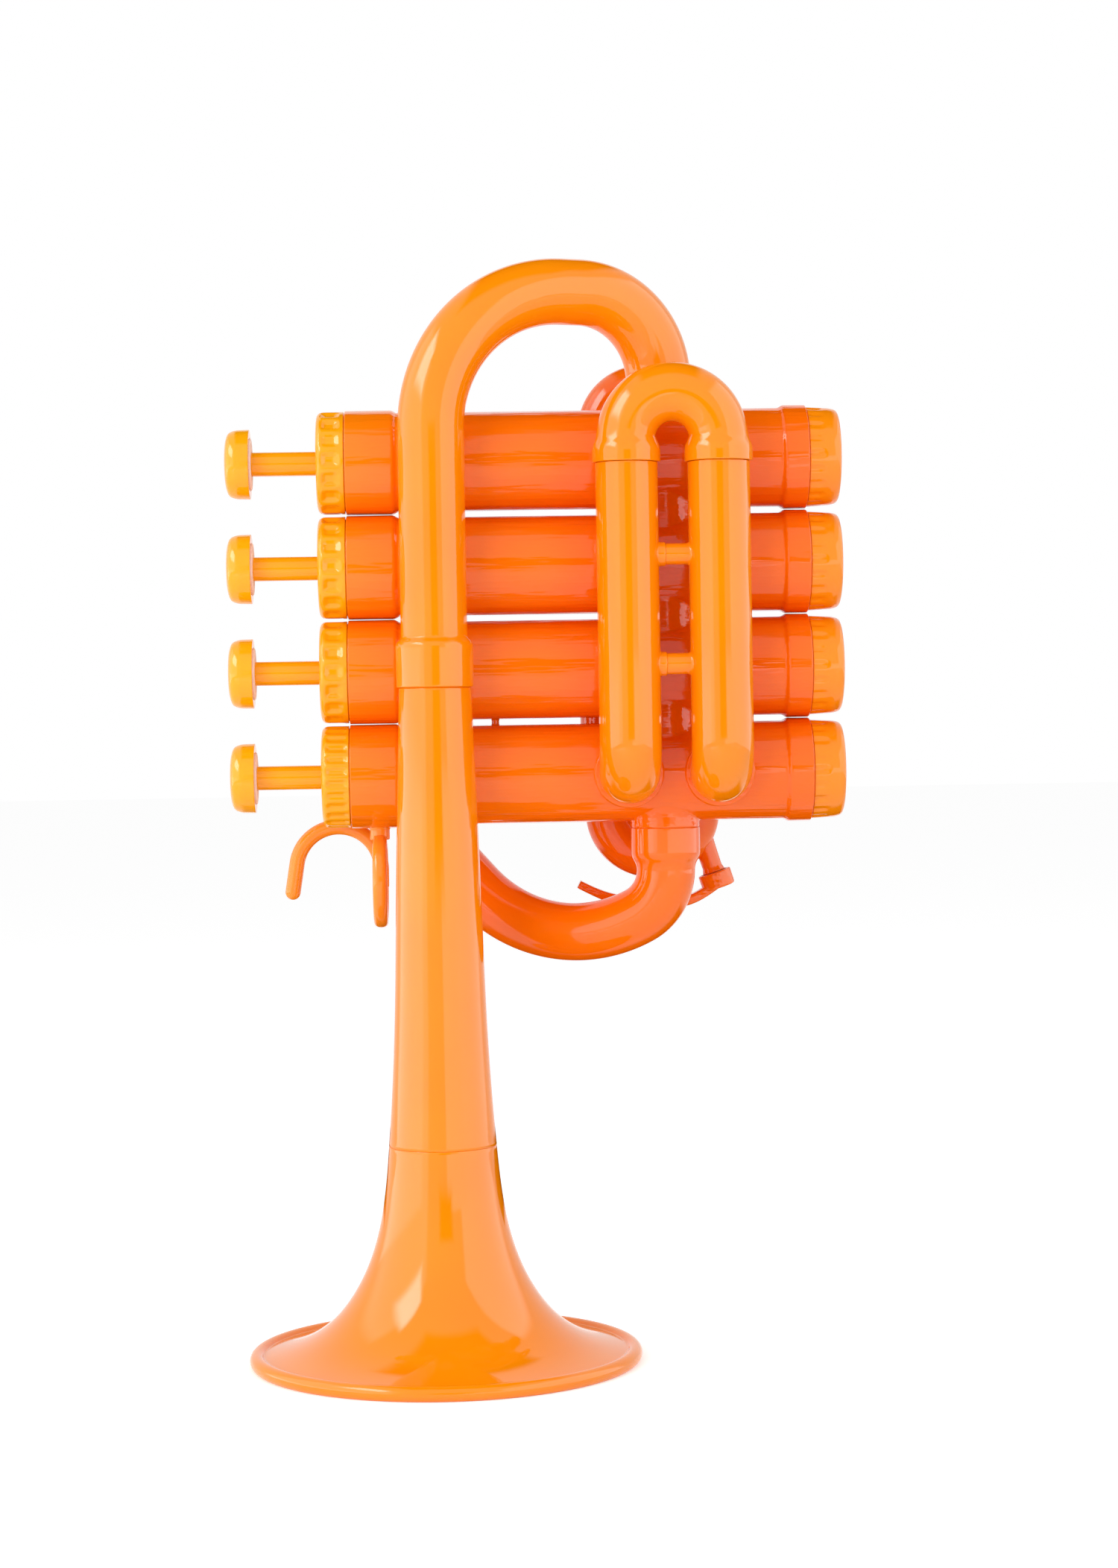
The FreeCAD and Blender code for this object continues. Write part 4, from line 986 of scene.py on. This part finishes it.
def fuzzy(seed):
    """A wave that raises and lowers a felt edge by up to fuzz_depth times the mean of a few sines."""
    ways = np.random.default_rng(seed)
    counts, phases = ways.integers(5, 40, fuzz_sines), ways.uniform(0, 2 * np.pi, fuzz_sines)

    def wave(along_grid, radius, angles):
        ripple = sum(np.sin(c * angles + p + 3 * along_grid) for c, p in zip(counts, phases)) / fuzz_sines
        return radius + fuzz_depth * ripple * (radius > fuzz_from)
    return wave


def washer(n, start, height, radius, hole):
    """One felt washer on valve n's axis."""
    return tube([(0.0, hole, 0.05), (0.0, radius, 0.2), (height, radius, 0.2), (height, hole, 0.05)],
                valve_axis(n, start, height), 96, 0.5, fuzzy(n))


def valve_stem(n):
    """A plain rod with a thinner screw at each end."""
    length, depth = barrel_top_x - felt_face_x, felt_height + stem_screw_depth
    return knob([
        (-depth, 0, 0), (-depth, stem_screw, 0.3), (0, stem_screw, 0.1), (0, stem_radius, 0.15),
        (length, stem_radius, 0.15), (length, stem_screw, 0.1), (length + 2, stem_screw, 0.2), (length + 2, 0, 0),
    ], valve_axis(n, felt_face_x, length), 64, 3.0)


for n in valve_z:
    piece(f"finger_button_{n}", [finger_button(n)], button_orange, f"valve_{n}")
    piece(f"valve_stem_{n}", [valve_stem(n)], yellow_orange, f"valve_{n}")
    under_button = washer(n, button_seat_x, felt_height, 6.75, screw_hole)
    stop = washer(n, barrel_top_x - stop_height, stop_height, 6.5, stem_radius + 0.02)
    piece(f"valve_felts_{n}", [under_button, stop], felt, f"valve_{n}", "washers")
print("button faces:", made["finger_button_1_moulding"])

# %% [markdown]
# ## The long slide in front
# The fourth valve's slide stands in front of the casings. Its two legs leave the casing through tight
# elbows, two short stays hold them together, and a round-shouldered bow joins their tops. The bow rides on
# inner tubes that slide in the legs.

# %% Legs, stays, bow and inner tubes
elbow_radius = 8.35
front_leg_radius, front_leg_top_z = 8.05, 230.4
front_bore, front_socket, front_socket_depth = 5.5, 6.65, 47
front_inner, front_inner_length = 6.6, 45
seam_gap_z = 0.05
front_pad_y = valve_y - casing_radius - pad_height
front_leg_y = front_pad_y - elbow_radius
front_pitch = front_legs_x[1] - front_legs_x[0]


def front_leg(x):
    """Out of the pad towards the viewer, a quarter bend upwards, and straight up to the mouth."""
    run = front_leg_top_z - valve_z[4] - elbow_radius
    way = path([x, front_pad_y, valve_z[4]], -Y, [(-90, elbow_radius, X), (0, run)])
    end = path_length(way)
    step = end - front_socket_depth
    return tube([
        (0, front_leg_radius, 0.2), (end, front_leg_radius, 0.25), (end, front_socket, 0.15),
        (step, front_socket, 0.1), (step, front_bore, 0.1), (0, front_bore, 0.2)], way, 80, 0.9)


def front_bow():
    """A half-circle bow with a ferrule at each foot. The ferrule's shoulder rounds in to the thinner tube."""
    way = path([front_legs_x[0], front_leg_y, front_leg_top_z + seam_gap_z], Z, [
        (0, 6.1), (180, front_pitch / 2, Y), (0, 6.1)])
    end = path_length(way)
    return tube([
        (0, 8.8, 0.3), (3.8, 8.85, 1.5), (6.5, 7.6, 1.8), (end - 6.5, 7.6, 1.8), (end - 3.8, 8.85, 1.5),
        (end, 8.8, 0.3), (end, front_bore, 0.2), (0, front_bore, 0.2)], way, 88, 0.6)


def front_inner_tube(x):
    """A straight tube down from the bow's foot."""
    return tube([
        (0, front_inner, 0.1), (front_inner_length, front_inner, 0.3), (front_inner_length, front_bore, 0.1),
        (0, front_bore, 0.1),
    ], path([x, front_leg_y, front_leg_top_z + seam_gap_z], -Z, [(0, front_inner_length)]), 64, 5.0)


def front_stay(z):
    """A round stay with a wider socket ring at its left end, and fillets where it meets both legs."""
    start, leg = [front_legs_x[0], front_leg_y, z], (front_leg_radius, Y)
    bar = stub(start, X, front_pitch, 2.75, leg, leg, 0.9)
    return [bar, stub(start, X, front_leg_radius + 1.6, 3.15, low=leg, fillet=0.5, middle=2)]


piece("slide_4_legs", [front_leg(x) for x in front_legs_x], light_orange)
piece("slide_4_bow", [front_bow()], light_orange, "slide_4")
piece("slide_4_inner_tubes", [front_inner_tube(x) for x in front_legs_x], light_orange, "slide_4")
piece("slide_4_stays", front_stay(178.6) + front_stay(206.8), light_orange, node="slide_4_braces")
print("leg faces:", made["slide_4_legs_moulding"])

# %% [markdown]
# ## The three slides behind
# The first valve's slide goes straight back and then rises behind the casing. The second is a short loop.
# The third bends down, and its bow hangs below the casings with the water key on it. All three are the
# same tube with the same ferrules, so a shared function takes only the path.

# %% Bows and legs behind the casings
rear_pitch = rear_legs_x[1] - rear_legs_x[0]
rear_pad_y = valve_y + casing_radius + pad_height
rear_leg_y = rear_pad_y + elbow_radius
leg_length = {1: 10.0, 2: 7.0, 3: 21.65}
rear_tube, rear_ferrule, rear_bore, rear_inner, rear_socket_depth = 6.4, 7.4, 5.1, 6.0, 19.65


def rear_bow(way, inserted):
    """Inner tube, ferrule, bow, ferrule, inner tube along one path that starts at the first leg's mouth."""
    end, foot = path_length(way), rear_ferrule - 0.05
    return tube([
        (-inserted, rear_inner, 0.3), (0, rear_inner, 0.05), (0, foot, 0.25), (1.7, rear_ferrule, 0.4),
        (2.3, rear_tube, 0.25), (end - 2.3, rear_tube, 0.25), (end - 1.7, rear_ferrule, 0.4), (end, foot, 0.25),
        (end, rear_inner, 0.05), (end + inserted, rear_inner, 0.3), (end + inserted, rear_bore, 0.15),
        (-inserted, rear_bore, 0.15)], way, 72, 0.8)


def rear_legs(n, steps):
    """The two fixed legs of valve n's slide, along the same steps from each pad. The socket for the inner
    tube goes down from the mouth, and at least the first half millimetre stays narrow."""
    legs = []
    for x in rear_legs_x:
        way = path([x, rear_pad_y, valve_z[n]], Y, steps)
        end = path_length(way)
        step = max(end - rear_socket_depth, 0.5)
        legs.append(tube([
            (0, rear_ferrule, 0.2), (end, rear_ferrule, 0.25), (end, rear_inner + 0.05, 0.15),
            (step, rear_inner + 0.05, 0.05), (step, rear_bore, 0.05), (0, rear_bore, 0.15)], way, 72, 0.9))
    return legs


half_loop = rear_pitch / 2
mouth_3_z = valve_z[3] - elbow_radius - leg_length[3] - seam_gap_z
legs_way = {1: [(0, leg_length[1])], 2: [(0, leg_length[2])], 3: [(-90, elbow_radius, X), (0, leg_length[3])]}
start_1, start_2 = ([rear_legs_x[0], rear_pad_y + leg_length[n] + seam_gap_z, valve_z[n]] for n in (1, 2))
way_1 = path(start_1, Y, [
    (0, 2), (90, elbow_radius, X), (0, 2.15), (180, half_loop, Y), (0, 2.15), (90, elbow_radius, -X), (0, 2)])
way_2 = path(start_2, Y, [(0, 2), (-180, half_loop, Z), (0, 2)])
way_3 = path([rear_legs_x[0], rear_leg_y, mouth_3_z], -Z, [(0, 8.5), (-180, half_loop, Y), (0, 8.5)])
for n, way in ((1, way_1), (2, way_2)):
    piece(f"slide_{n}_bow", [rear_bow(way, leg_length[n] - 0.3)], crook_orange, f"slide_{n}")
for n, steps in legs_way.items():
    piece(f"slide_{n}_legs", rear_legs(n, steps), crook_orange)
print("rear bow length:", round(path_length(way_1), 1))

# %% [markdown]
# ## The water key
# Water collects in the lowest bow. A nipple leans out of it, and a lever closes the nipple with a cork in
# a small cup. The lever turns on a pin between two lugs under the bow, so pressing its tip lifts the cup.
# The lever is a flat bar on a bent line: its section is a rounded rectangle, which the line carries.

# %% The third slide's bow, nipple and lugs
rear_x = 58.3
loop_centre_z = mouth_3_z - 8.5
pivot_z = loop_centre_z - half_loop - rear_tube - 5.2
lean = np.radians(18)
nipple_foot = np.array([rear_x + 14.6, rear_leg_y, loop_centre_z - 11.0])
nipple_heading = np.array([np.sin(lean), 0, -np.cos(lean)])
nipple_length, nipple_bore, nipple_root = 6.2, 1.2, -4.0
lever_width, lever_thick = 6.0, 2.6
lug_half_width, lug_height = 2.3, 8.0
pin_length, pin_radius = 9.8, 1.2


def rounded_square(count, power):
    """The two coordinates of |x|^p + |y|^p = 1 at each angle: cos a and sin a, over the p-th root of
    |cos a|^p + |sin a|^p."""
    cos, sin = np.cos(turns(count)), np.sin(turns(count))
    size = (np.abs(cos) ** power + np.abs(sin) ** power) ** (-1 / power)
    return cos * size, sin * size


def box_bar(line, directions, across, width, thick):
    """A bar with a rounded rectangle as its section, at each point of a line."""
    wide, tall = rounded_square(28, 6)
    normals = unit(np.cross(directions, across))
    rows = (line[:, None] + across * (width / 2 * wide[:, None]).T[:, :, None]
            + normals[:, None] * (thick / 2 * tall[:, None]).T[:, :, None])
    return surface(rows, closed=False)


def lug(side):
    """A plate from the bow down to the pin: straight sides and a half-round foot, as a closed outline."""
    inner = rear_leg_y + side * (lever_width / 2 + 0.3)
    angles = np.linspace(np.pi, 2 * np.pi, 15)
    foot = lug_half_width * np.column_stack([np.cos(angles), np.sin(angles)])
    top = np.array([(lug_half_width, lug_height), (-lug_half_width, lug_height)])
    outline = np.array([rear_x, pivot_z]) + np.concatenate([foot, top])
    middle = outline.mean(0)
    rows = []
    for share, depth in ((0.9, 0.0), (1.0, 0.12), (1.0, 1.26), (0.9, 1.38)):
        flat = middle + (outline - middle) * share
        rows.append(np.column_stack([flat[:, 0], np.full(len(flat), inner + side * depth), flat[:, 1]]))
    return surface(np.array(rows), closed=False)


nipple = tube([
    (nipple_root, 2.9, 0.3), (0.4, 2.75, 0.3), (nipple_length - 1.4, 2.7, 0.2), (nipple_length - 0.2, 3.1, 0.3),
    (nipple_length, 2.9, 0.1), (nipple_length, nipple_bore, 0.15), (nipple_root, nipple_bore, 0.1),
], path(nipple_foot, nipple_heading, [(0, nipple_length)]), 48, 0.8)
bow_3 = [rear_bow(way_3, leg_length[3] - 2.3), nipple, lug(-1), lug(1)]
piece("slide_3_bow", bow_3, crook_orange, "slide_3")
pin_way = path([rear_x, rear_leg_y - pin_length / 2, pivot_z], Y, [(0, pin_length)])
pin = knob([(0, 0, 0), (0, pin_radius, 0.25), (pin_length, pin_radius, 0.25), (pin_length, 0, 0)],
           pin_way, 40, 2.0)
piece("water_key_pin", [pin], pin_steel, "slide_3", "rod")
print("pivot height:", round(pivot_z, 2))

# %% The lever with its cup and cork
lever_shares = ((-0.86, 1.45), (-0.5, 0.0), (0.0, -0.55), (0.36, -0.5))
lever_rows = 60
cup_height, cup_radius, cup_bore = 4.4, 4.5, 3.62
cork_height, cork_radius = 1.6, 3.6
barrel_radius, barrel_hole = 2.3, 1.26
seat = nipple_foot + nipple_heading * (nipple_length + 0.05)
arm_end = seat + nipple_heading * (cup_height - lever_thick / 2)
lever_points = [(rear_x + out * rear_pitch, pivot_z + up * lever_thick) for out, up in lever_shares]
lever_curve = smooth_curve(lever_points + [(arm_end[0], arm_end[2])], lever_rows)
lever_line = np.column_stack([lever_curve[:, 0], np.full(lever_rows, rear_leg_y), lever_curve[:, 1]])
reach = np.linspace(0, 1, lever_rows)
lever_thickness = lever_thick * (0.85 + 0.15 * eased(reach, 0.0, 0.3))
lever_breadth = lever_width * (0.86 + 0.14 * np.sin(np.pi * np.clip(reach / 0.3, 0, 1)))
arm = box_bar(lever_line, np.gradient(lever_line, axis=0), Y, lever_breadth, lever_thickness)
cup_floor = cork_height + 0.3
cup = tube([
    (0, cup_radius, 0.35), (cup_height, cup_radius, 0.7), (cup_height, 0.4, 0.05), (cup_floor, 0.4, 0.02),
    (cup_floor, cup_bore, 0.1), (0, cup_bore, 0.15)], path(seat, nipple_heading, [(0, cup_height)]), 64, 0.8)
barrel = tube([
    (0, barrel_radius, 0.25), (lever_width, barrel_radius, 0.25), (lever_width, barrel_hole, 0.1),
    (0, barrel_hole, 0.1),
], path([rear_x, rear_leg_y - lever_width / 2, pivot_z], Y, [(0, lever_width)]), 48, 1.5)
piece("water_key_lever", [arm, cup, barrel], deep_orange, "water_key")
disc = knob([(0, 0, 0), (0, cork_radius, 0.2), (cork_height, cork_radius, 0.2), (cork_height, 0, 0)],
            path(seat, nipple_heading, [(0, cork_height)]), 48, 0.8)
piece("water_key_cork", [disc], cork, "water_key", "disc")
print("lever length:", round(float(np.linalg.norm(np.diff(lever_line, axis=0), axis=1).sum()), 1))

# %% [markdown]
# ## The crook and the mouthpipe
# Below the fourth valve the main tube drops through a sleeve, curls round behind the bell and rises into
# the mouthpipe, which ends in the receiver for the mouthpipe's removable shank.

# %% The crook
crook_radius, crook_bore, crook_sleeve = 7.7, 5.5, 8.8
mouthpipe_x, mouthpipe_y = -0.5, 46.5
crook_bends = ((62, 14), (74, 39), (44, 26))


def tuning_crook():
    """Down, two bends of different radius, a short run that makes up the span, and a last bend upwards.
    The bends cross r1(1-cos a) + r2(cos a - cos b) + r3(1+cos b), and the run crosses the rest."""
    span_line = np.array([mouthpipe_x - windway_x, mouthpipe_y - valve_y, 0])
    normal = np.cross(unit(span_line), Z)
    (turn_1, radius_1), (turn_2, radius_2), (_, radius_3) = crook_bends
    a, b = np.radians([turn_1, turn_1 + turn_2])
    bends = radius_1 * (1 - np.cos(a)) + radius_2 * (np.cos(a) - np.cos(b)) + radius_3 * (1 + np.cos(b))
    run = (np.linalg.norm(span_line) - bends) / np.sin(b)
    start = [windway_x, valve_y, valve_z[4] - casing_radius - boss_height]
    way = path(start, -Z, [(0, crook_sleeve + 2.2), *crook_bends[:2], (0, run), crook_bends[2]], normal)
    end = path_length(way)
    shape = tube([
        (0, boss_radius, 0.25), (crook_sleeve - 1.3, boss_radius, 1.1), (crook_sleeve + 1.2, crook_radius, 1.3),
        (end, crook_radius, 0.2), (end, crook_bore, 0.15), (0, crook_bore, 0.15),
    ], way, 80, 1.0)
    return shape, along(way, [end])[0][0]


crook, crook_end = tuning_crook()
piece("tuning_crook", [crook], crook_orange)
print("the crook ends at", np.round(crook_end, 2))

# %% The mouthpipe and its receiver
receiver_top_z, receiver_length, receiver_radius, receiver_bore = 238.0, 36.0, 8.0, 6.4
pipe_radius, pipe_ferrule, bead_reach = 7.0, 7.7, 0.4
pipe_low_z = crook_end[2] + seam_gap_z
receiver_z = receiver_top_z - receiver_length
mouthpipe = tube([
    (pipe_low_z, pipe_ferrule - 0.05, 0.25), (pipe_low_z + 4.4, pipe_ferrule, 0.3),
    (pipe_low_z + 5.1, pipe_radius, 0.3), (receiver_z, pipe_radius, 0.6), (receiver_z + 2, receiver_radius, 0.6),
    (receiver_top_z - 1.4, receiver_radius, 0.15), (receiver_top_z - 1.2, receiver_radius + bead_reach, 0.2),
    (receiver_top_z, receiver_radius + bead_reach, 0.3), (receiver_top_z, receiver_bore, 0.3),
    (receiver_z + 0.7, receiver_bore, 0.1), (receiver_z + 0.7, crook_bore, 0.1), (pipe_low_z, crook_bore, 0.1),
], path([mouthpipe_x, mouthpipe_y, 0], Z, [(0, receiver_top_z)]), 80, 4.0)
piece("mouthpipe", [mouthpipe], crook_orange)
print("mouthpipe from", round(pipe_low_z, 1), "to", receiver_top_z)

# %% [markdown]
# ## Posts, the finger ring and the hook
# Short posts hold the bow and the mouthpipe to the casings. Under the fourth valve's collar is a ring for
# a finger, and from its rear side a hook bends forward over the little finger, round in section and closed
# with a rounded tip.

# %% Posts and strut
post_radius, strut_radius, strut_x = 2.5, 1.0, 15.7
posts = [stub([0, 0, valve_z[n]], Y, valve_y, post_radius, (bow_radius, X), (casing_radius, Z), 0.8, 3)
         for n in (1, 2)]
posts += [stub([mouthpipe_x, valve_y, valve_z[n]], Y, mouthpipe_y - valve_y, post_radius,
               (casing_radius, Z), (rim, X), 0.8, 3) for n, rim in ((2, receiver_radius), (3, pipe_radius))]
posts.append(stub([strut_x, valve_y, valve_z[4]], Z, valve_z[3] - valve_z[4], strut_radius,
                  (casing_radius, Y), (casing_radius, Y), 0.5, 3))
piece("body_posts", posts, deep_orange)
print("posts:", len(posts))

# %% The ring and the hook
ring_x, ring_radius, ring_bar, ring_flatness = -15.3, 10.8, 1.9, 0.85
ring_top_z = valve_z[4] - 14.85
ring_z = ring_top_z - ring_bar - ring_radius
hook_radius, hook_bar, hook_foot = 11.3, 2.05, -1.2


def finger_ring():
    """A circle of radius R in the plane across the valves, with a bar carried round it whose section is a
    rounded square, a little flatter in the plane of the ring."""
    turn = turns(96)
    out = np.column_stack([np.zeros(96), np.cos(turn), np.sin(turn)])
    centre = np.array([ring_x, valve_y, ring_z]) + ring_radius * out
    wide, tall = rounded_square(36, 2.5)
    rows = centre[:, None] + ring_bar * (
        out[:, None] * (ring_flatness * wide)[None, :, None] + X * tall[None, :, None])
    return surface(rows)


def finger_hook():
    """Up from the ring's rear, most of a half circle forwards, and down to a rounded tip."""
    foot = [ring_x, valve_y + ring_radius, ring_z - ring_bar]
    way = path(foot, Z, [(0, 4.6), (-171, hook_radius, Y), (0, 7.8)])
    end = path_length(way)
    quarter = np.linspace(0, np.pi / 2, 9)
    tip = np.column_stack([end + hook_bar * np.sin(quarter), hook_bar * np.cos(quarter)])[:-1]
    base = np.column_stack([hook_foot * np.cos(quarter), hook_bar * np.sin(quarter)])[1:]
    middle = np.column_stack([np.linspace(0, end, 90), np.full(90, hook_bar)])[1:-1]
    return surface(carried(np.concatenate([base, middle, tip]), way, 40), closed=False)


boss = stub([ring_x, valve_y, ring_top_z - ring_bar], Z, valve_z[4] - ring_top_z + ring_bar, 2.6,
            high=(band_radius, Y), fillet=0.8, middle=3)
piece("finger_hook", [finger_ring(), boss, finger_hook()], hook_orange_painted_sheen)
print("ring centre height:", round(ring_z, 2))

# %% [markdown]
# ## The springs
# A spring sits in each valve's barrel, between the barrel's roof and the guide. It is a helix of round wire,
# whose first and last turns lie closer for a flat seat. Each spring rides on its valve as one piece.

# %% Coil the springs
spring_wire, spring_turns, points_per_turn = 0.9, 10, 40


def coil_spring(low, high):
    """A helix between two corners of a box. With a the turned angle and R the coil's radius, y = R cos a and
    z = R sin a. x climbs least over the first and the last turn. The wire is a circle round that line, set
    out along the coil's radius and across the wire."""
    turn = np.linspace(0, spring_turns, points_per_turn * spring_turns + 1)
    angles = turn * 2 * np.pi
    climb = 0.3 + 0.7 * eased(turn, 0.7, 1.6) * (1 - eased(turn, spring_turns - 1.6, spring_turns - 0.7))
    share = np.concatenate([[0], np.cumsum((climb[1:] + climb[:-1]) / 2)])
    x = low[0] + spring_wire / 2 + (high[0] - low[0] - spring_wire) * share / share[-1]
    out = np.column_stack([np.zeros(len(x)), np.cos(angles), np.sin(angles)])
    middle = np.array([0, *(low + high)[1:] / 2])
    line = middle + x[:, None] * X + (high[1] - low[1] - spring_wire) / 2 * out
    across = unit(np.cross(np.gradient(line, axis=0), out))
    around = turns(12)[None, :, None]
    rows = line[:, None] + spring_wire / 2 * (out[:, None] * np.cos(around) + across[:, None] * np.sin(around))
    return surface(rows, closed=False)


for n in valve_z:
    low, high = [np.array(corner) / mm - bell_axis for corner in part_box(f"valve_spring_{n}")]
    coils = piece(f"valve_spring_{n}", [coil_spring(low, high)], spring_steel, f"valve_{n}", "coils")
    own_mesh(coils)
print("springs keep", round(1 - travel / (high[0] - low[0]), 3), "of their length")

# %% [markdown]
# ## What stays from the CAD model
# The pistons and their guides are inside the casings. Their CAD solids are right as they are, so they only
# get their finish. A CAD mesh's faces already point outwards and its object isn't moved.

# %% Finish the hidden works
for label in ("piston", "valve_guide"):
    for n in valve_z:
        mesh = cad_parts[f"{label}_{n}"].data
        mesh.materials.clear()
        mesh.materials.append(piston_plastic)
print("pieces:", len(made), "faces:", sum(made.values()))
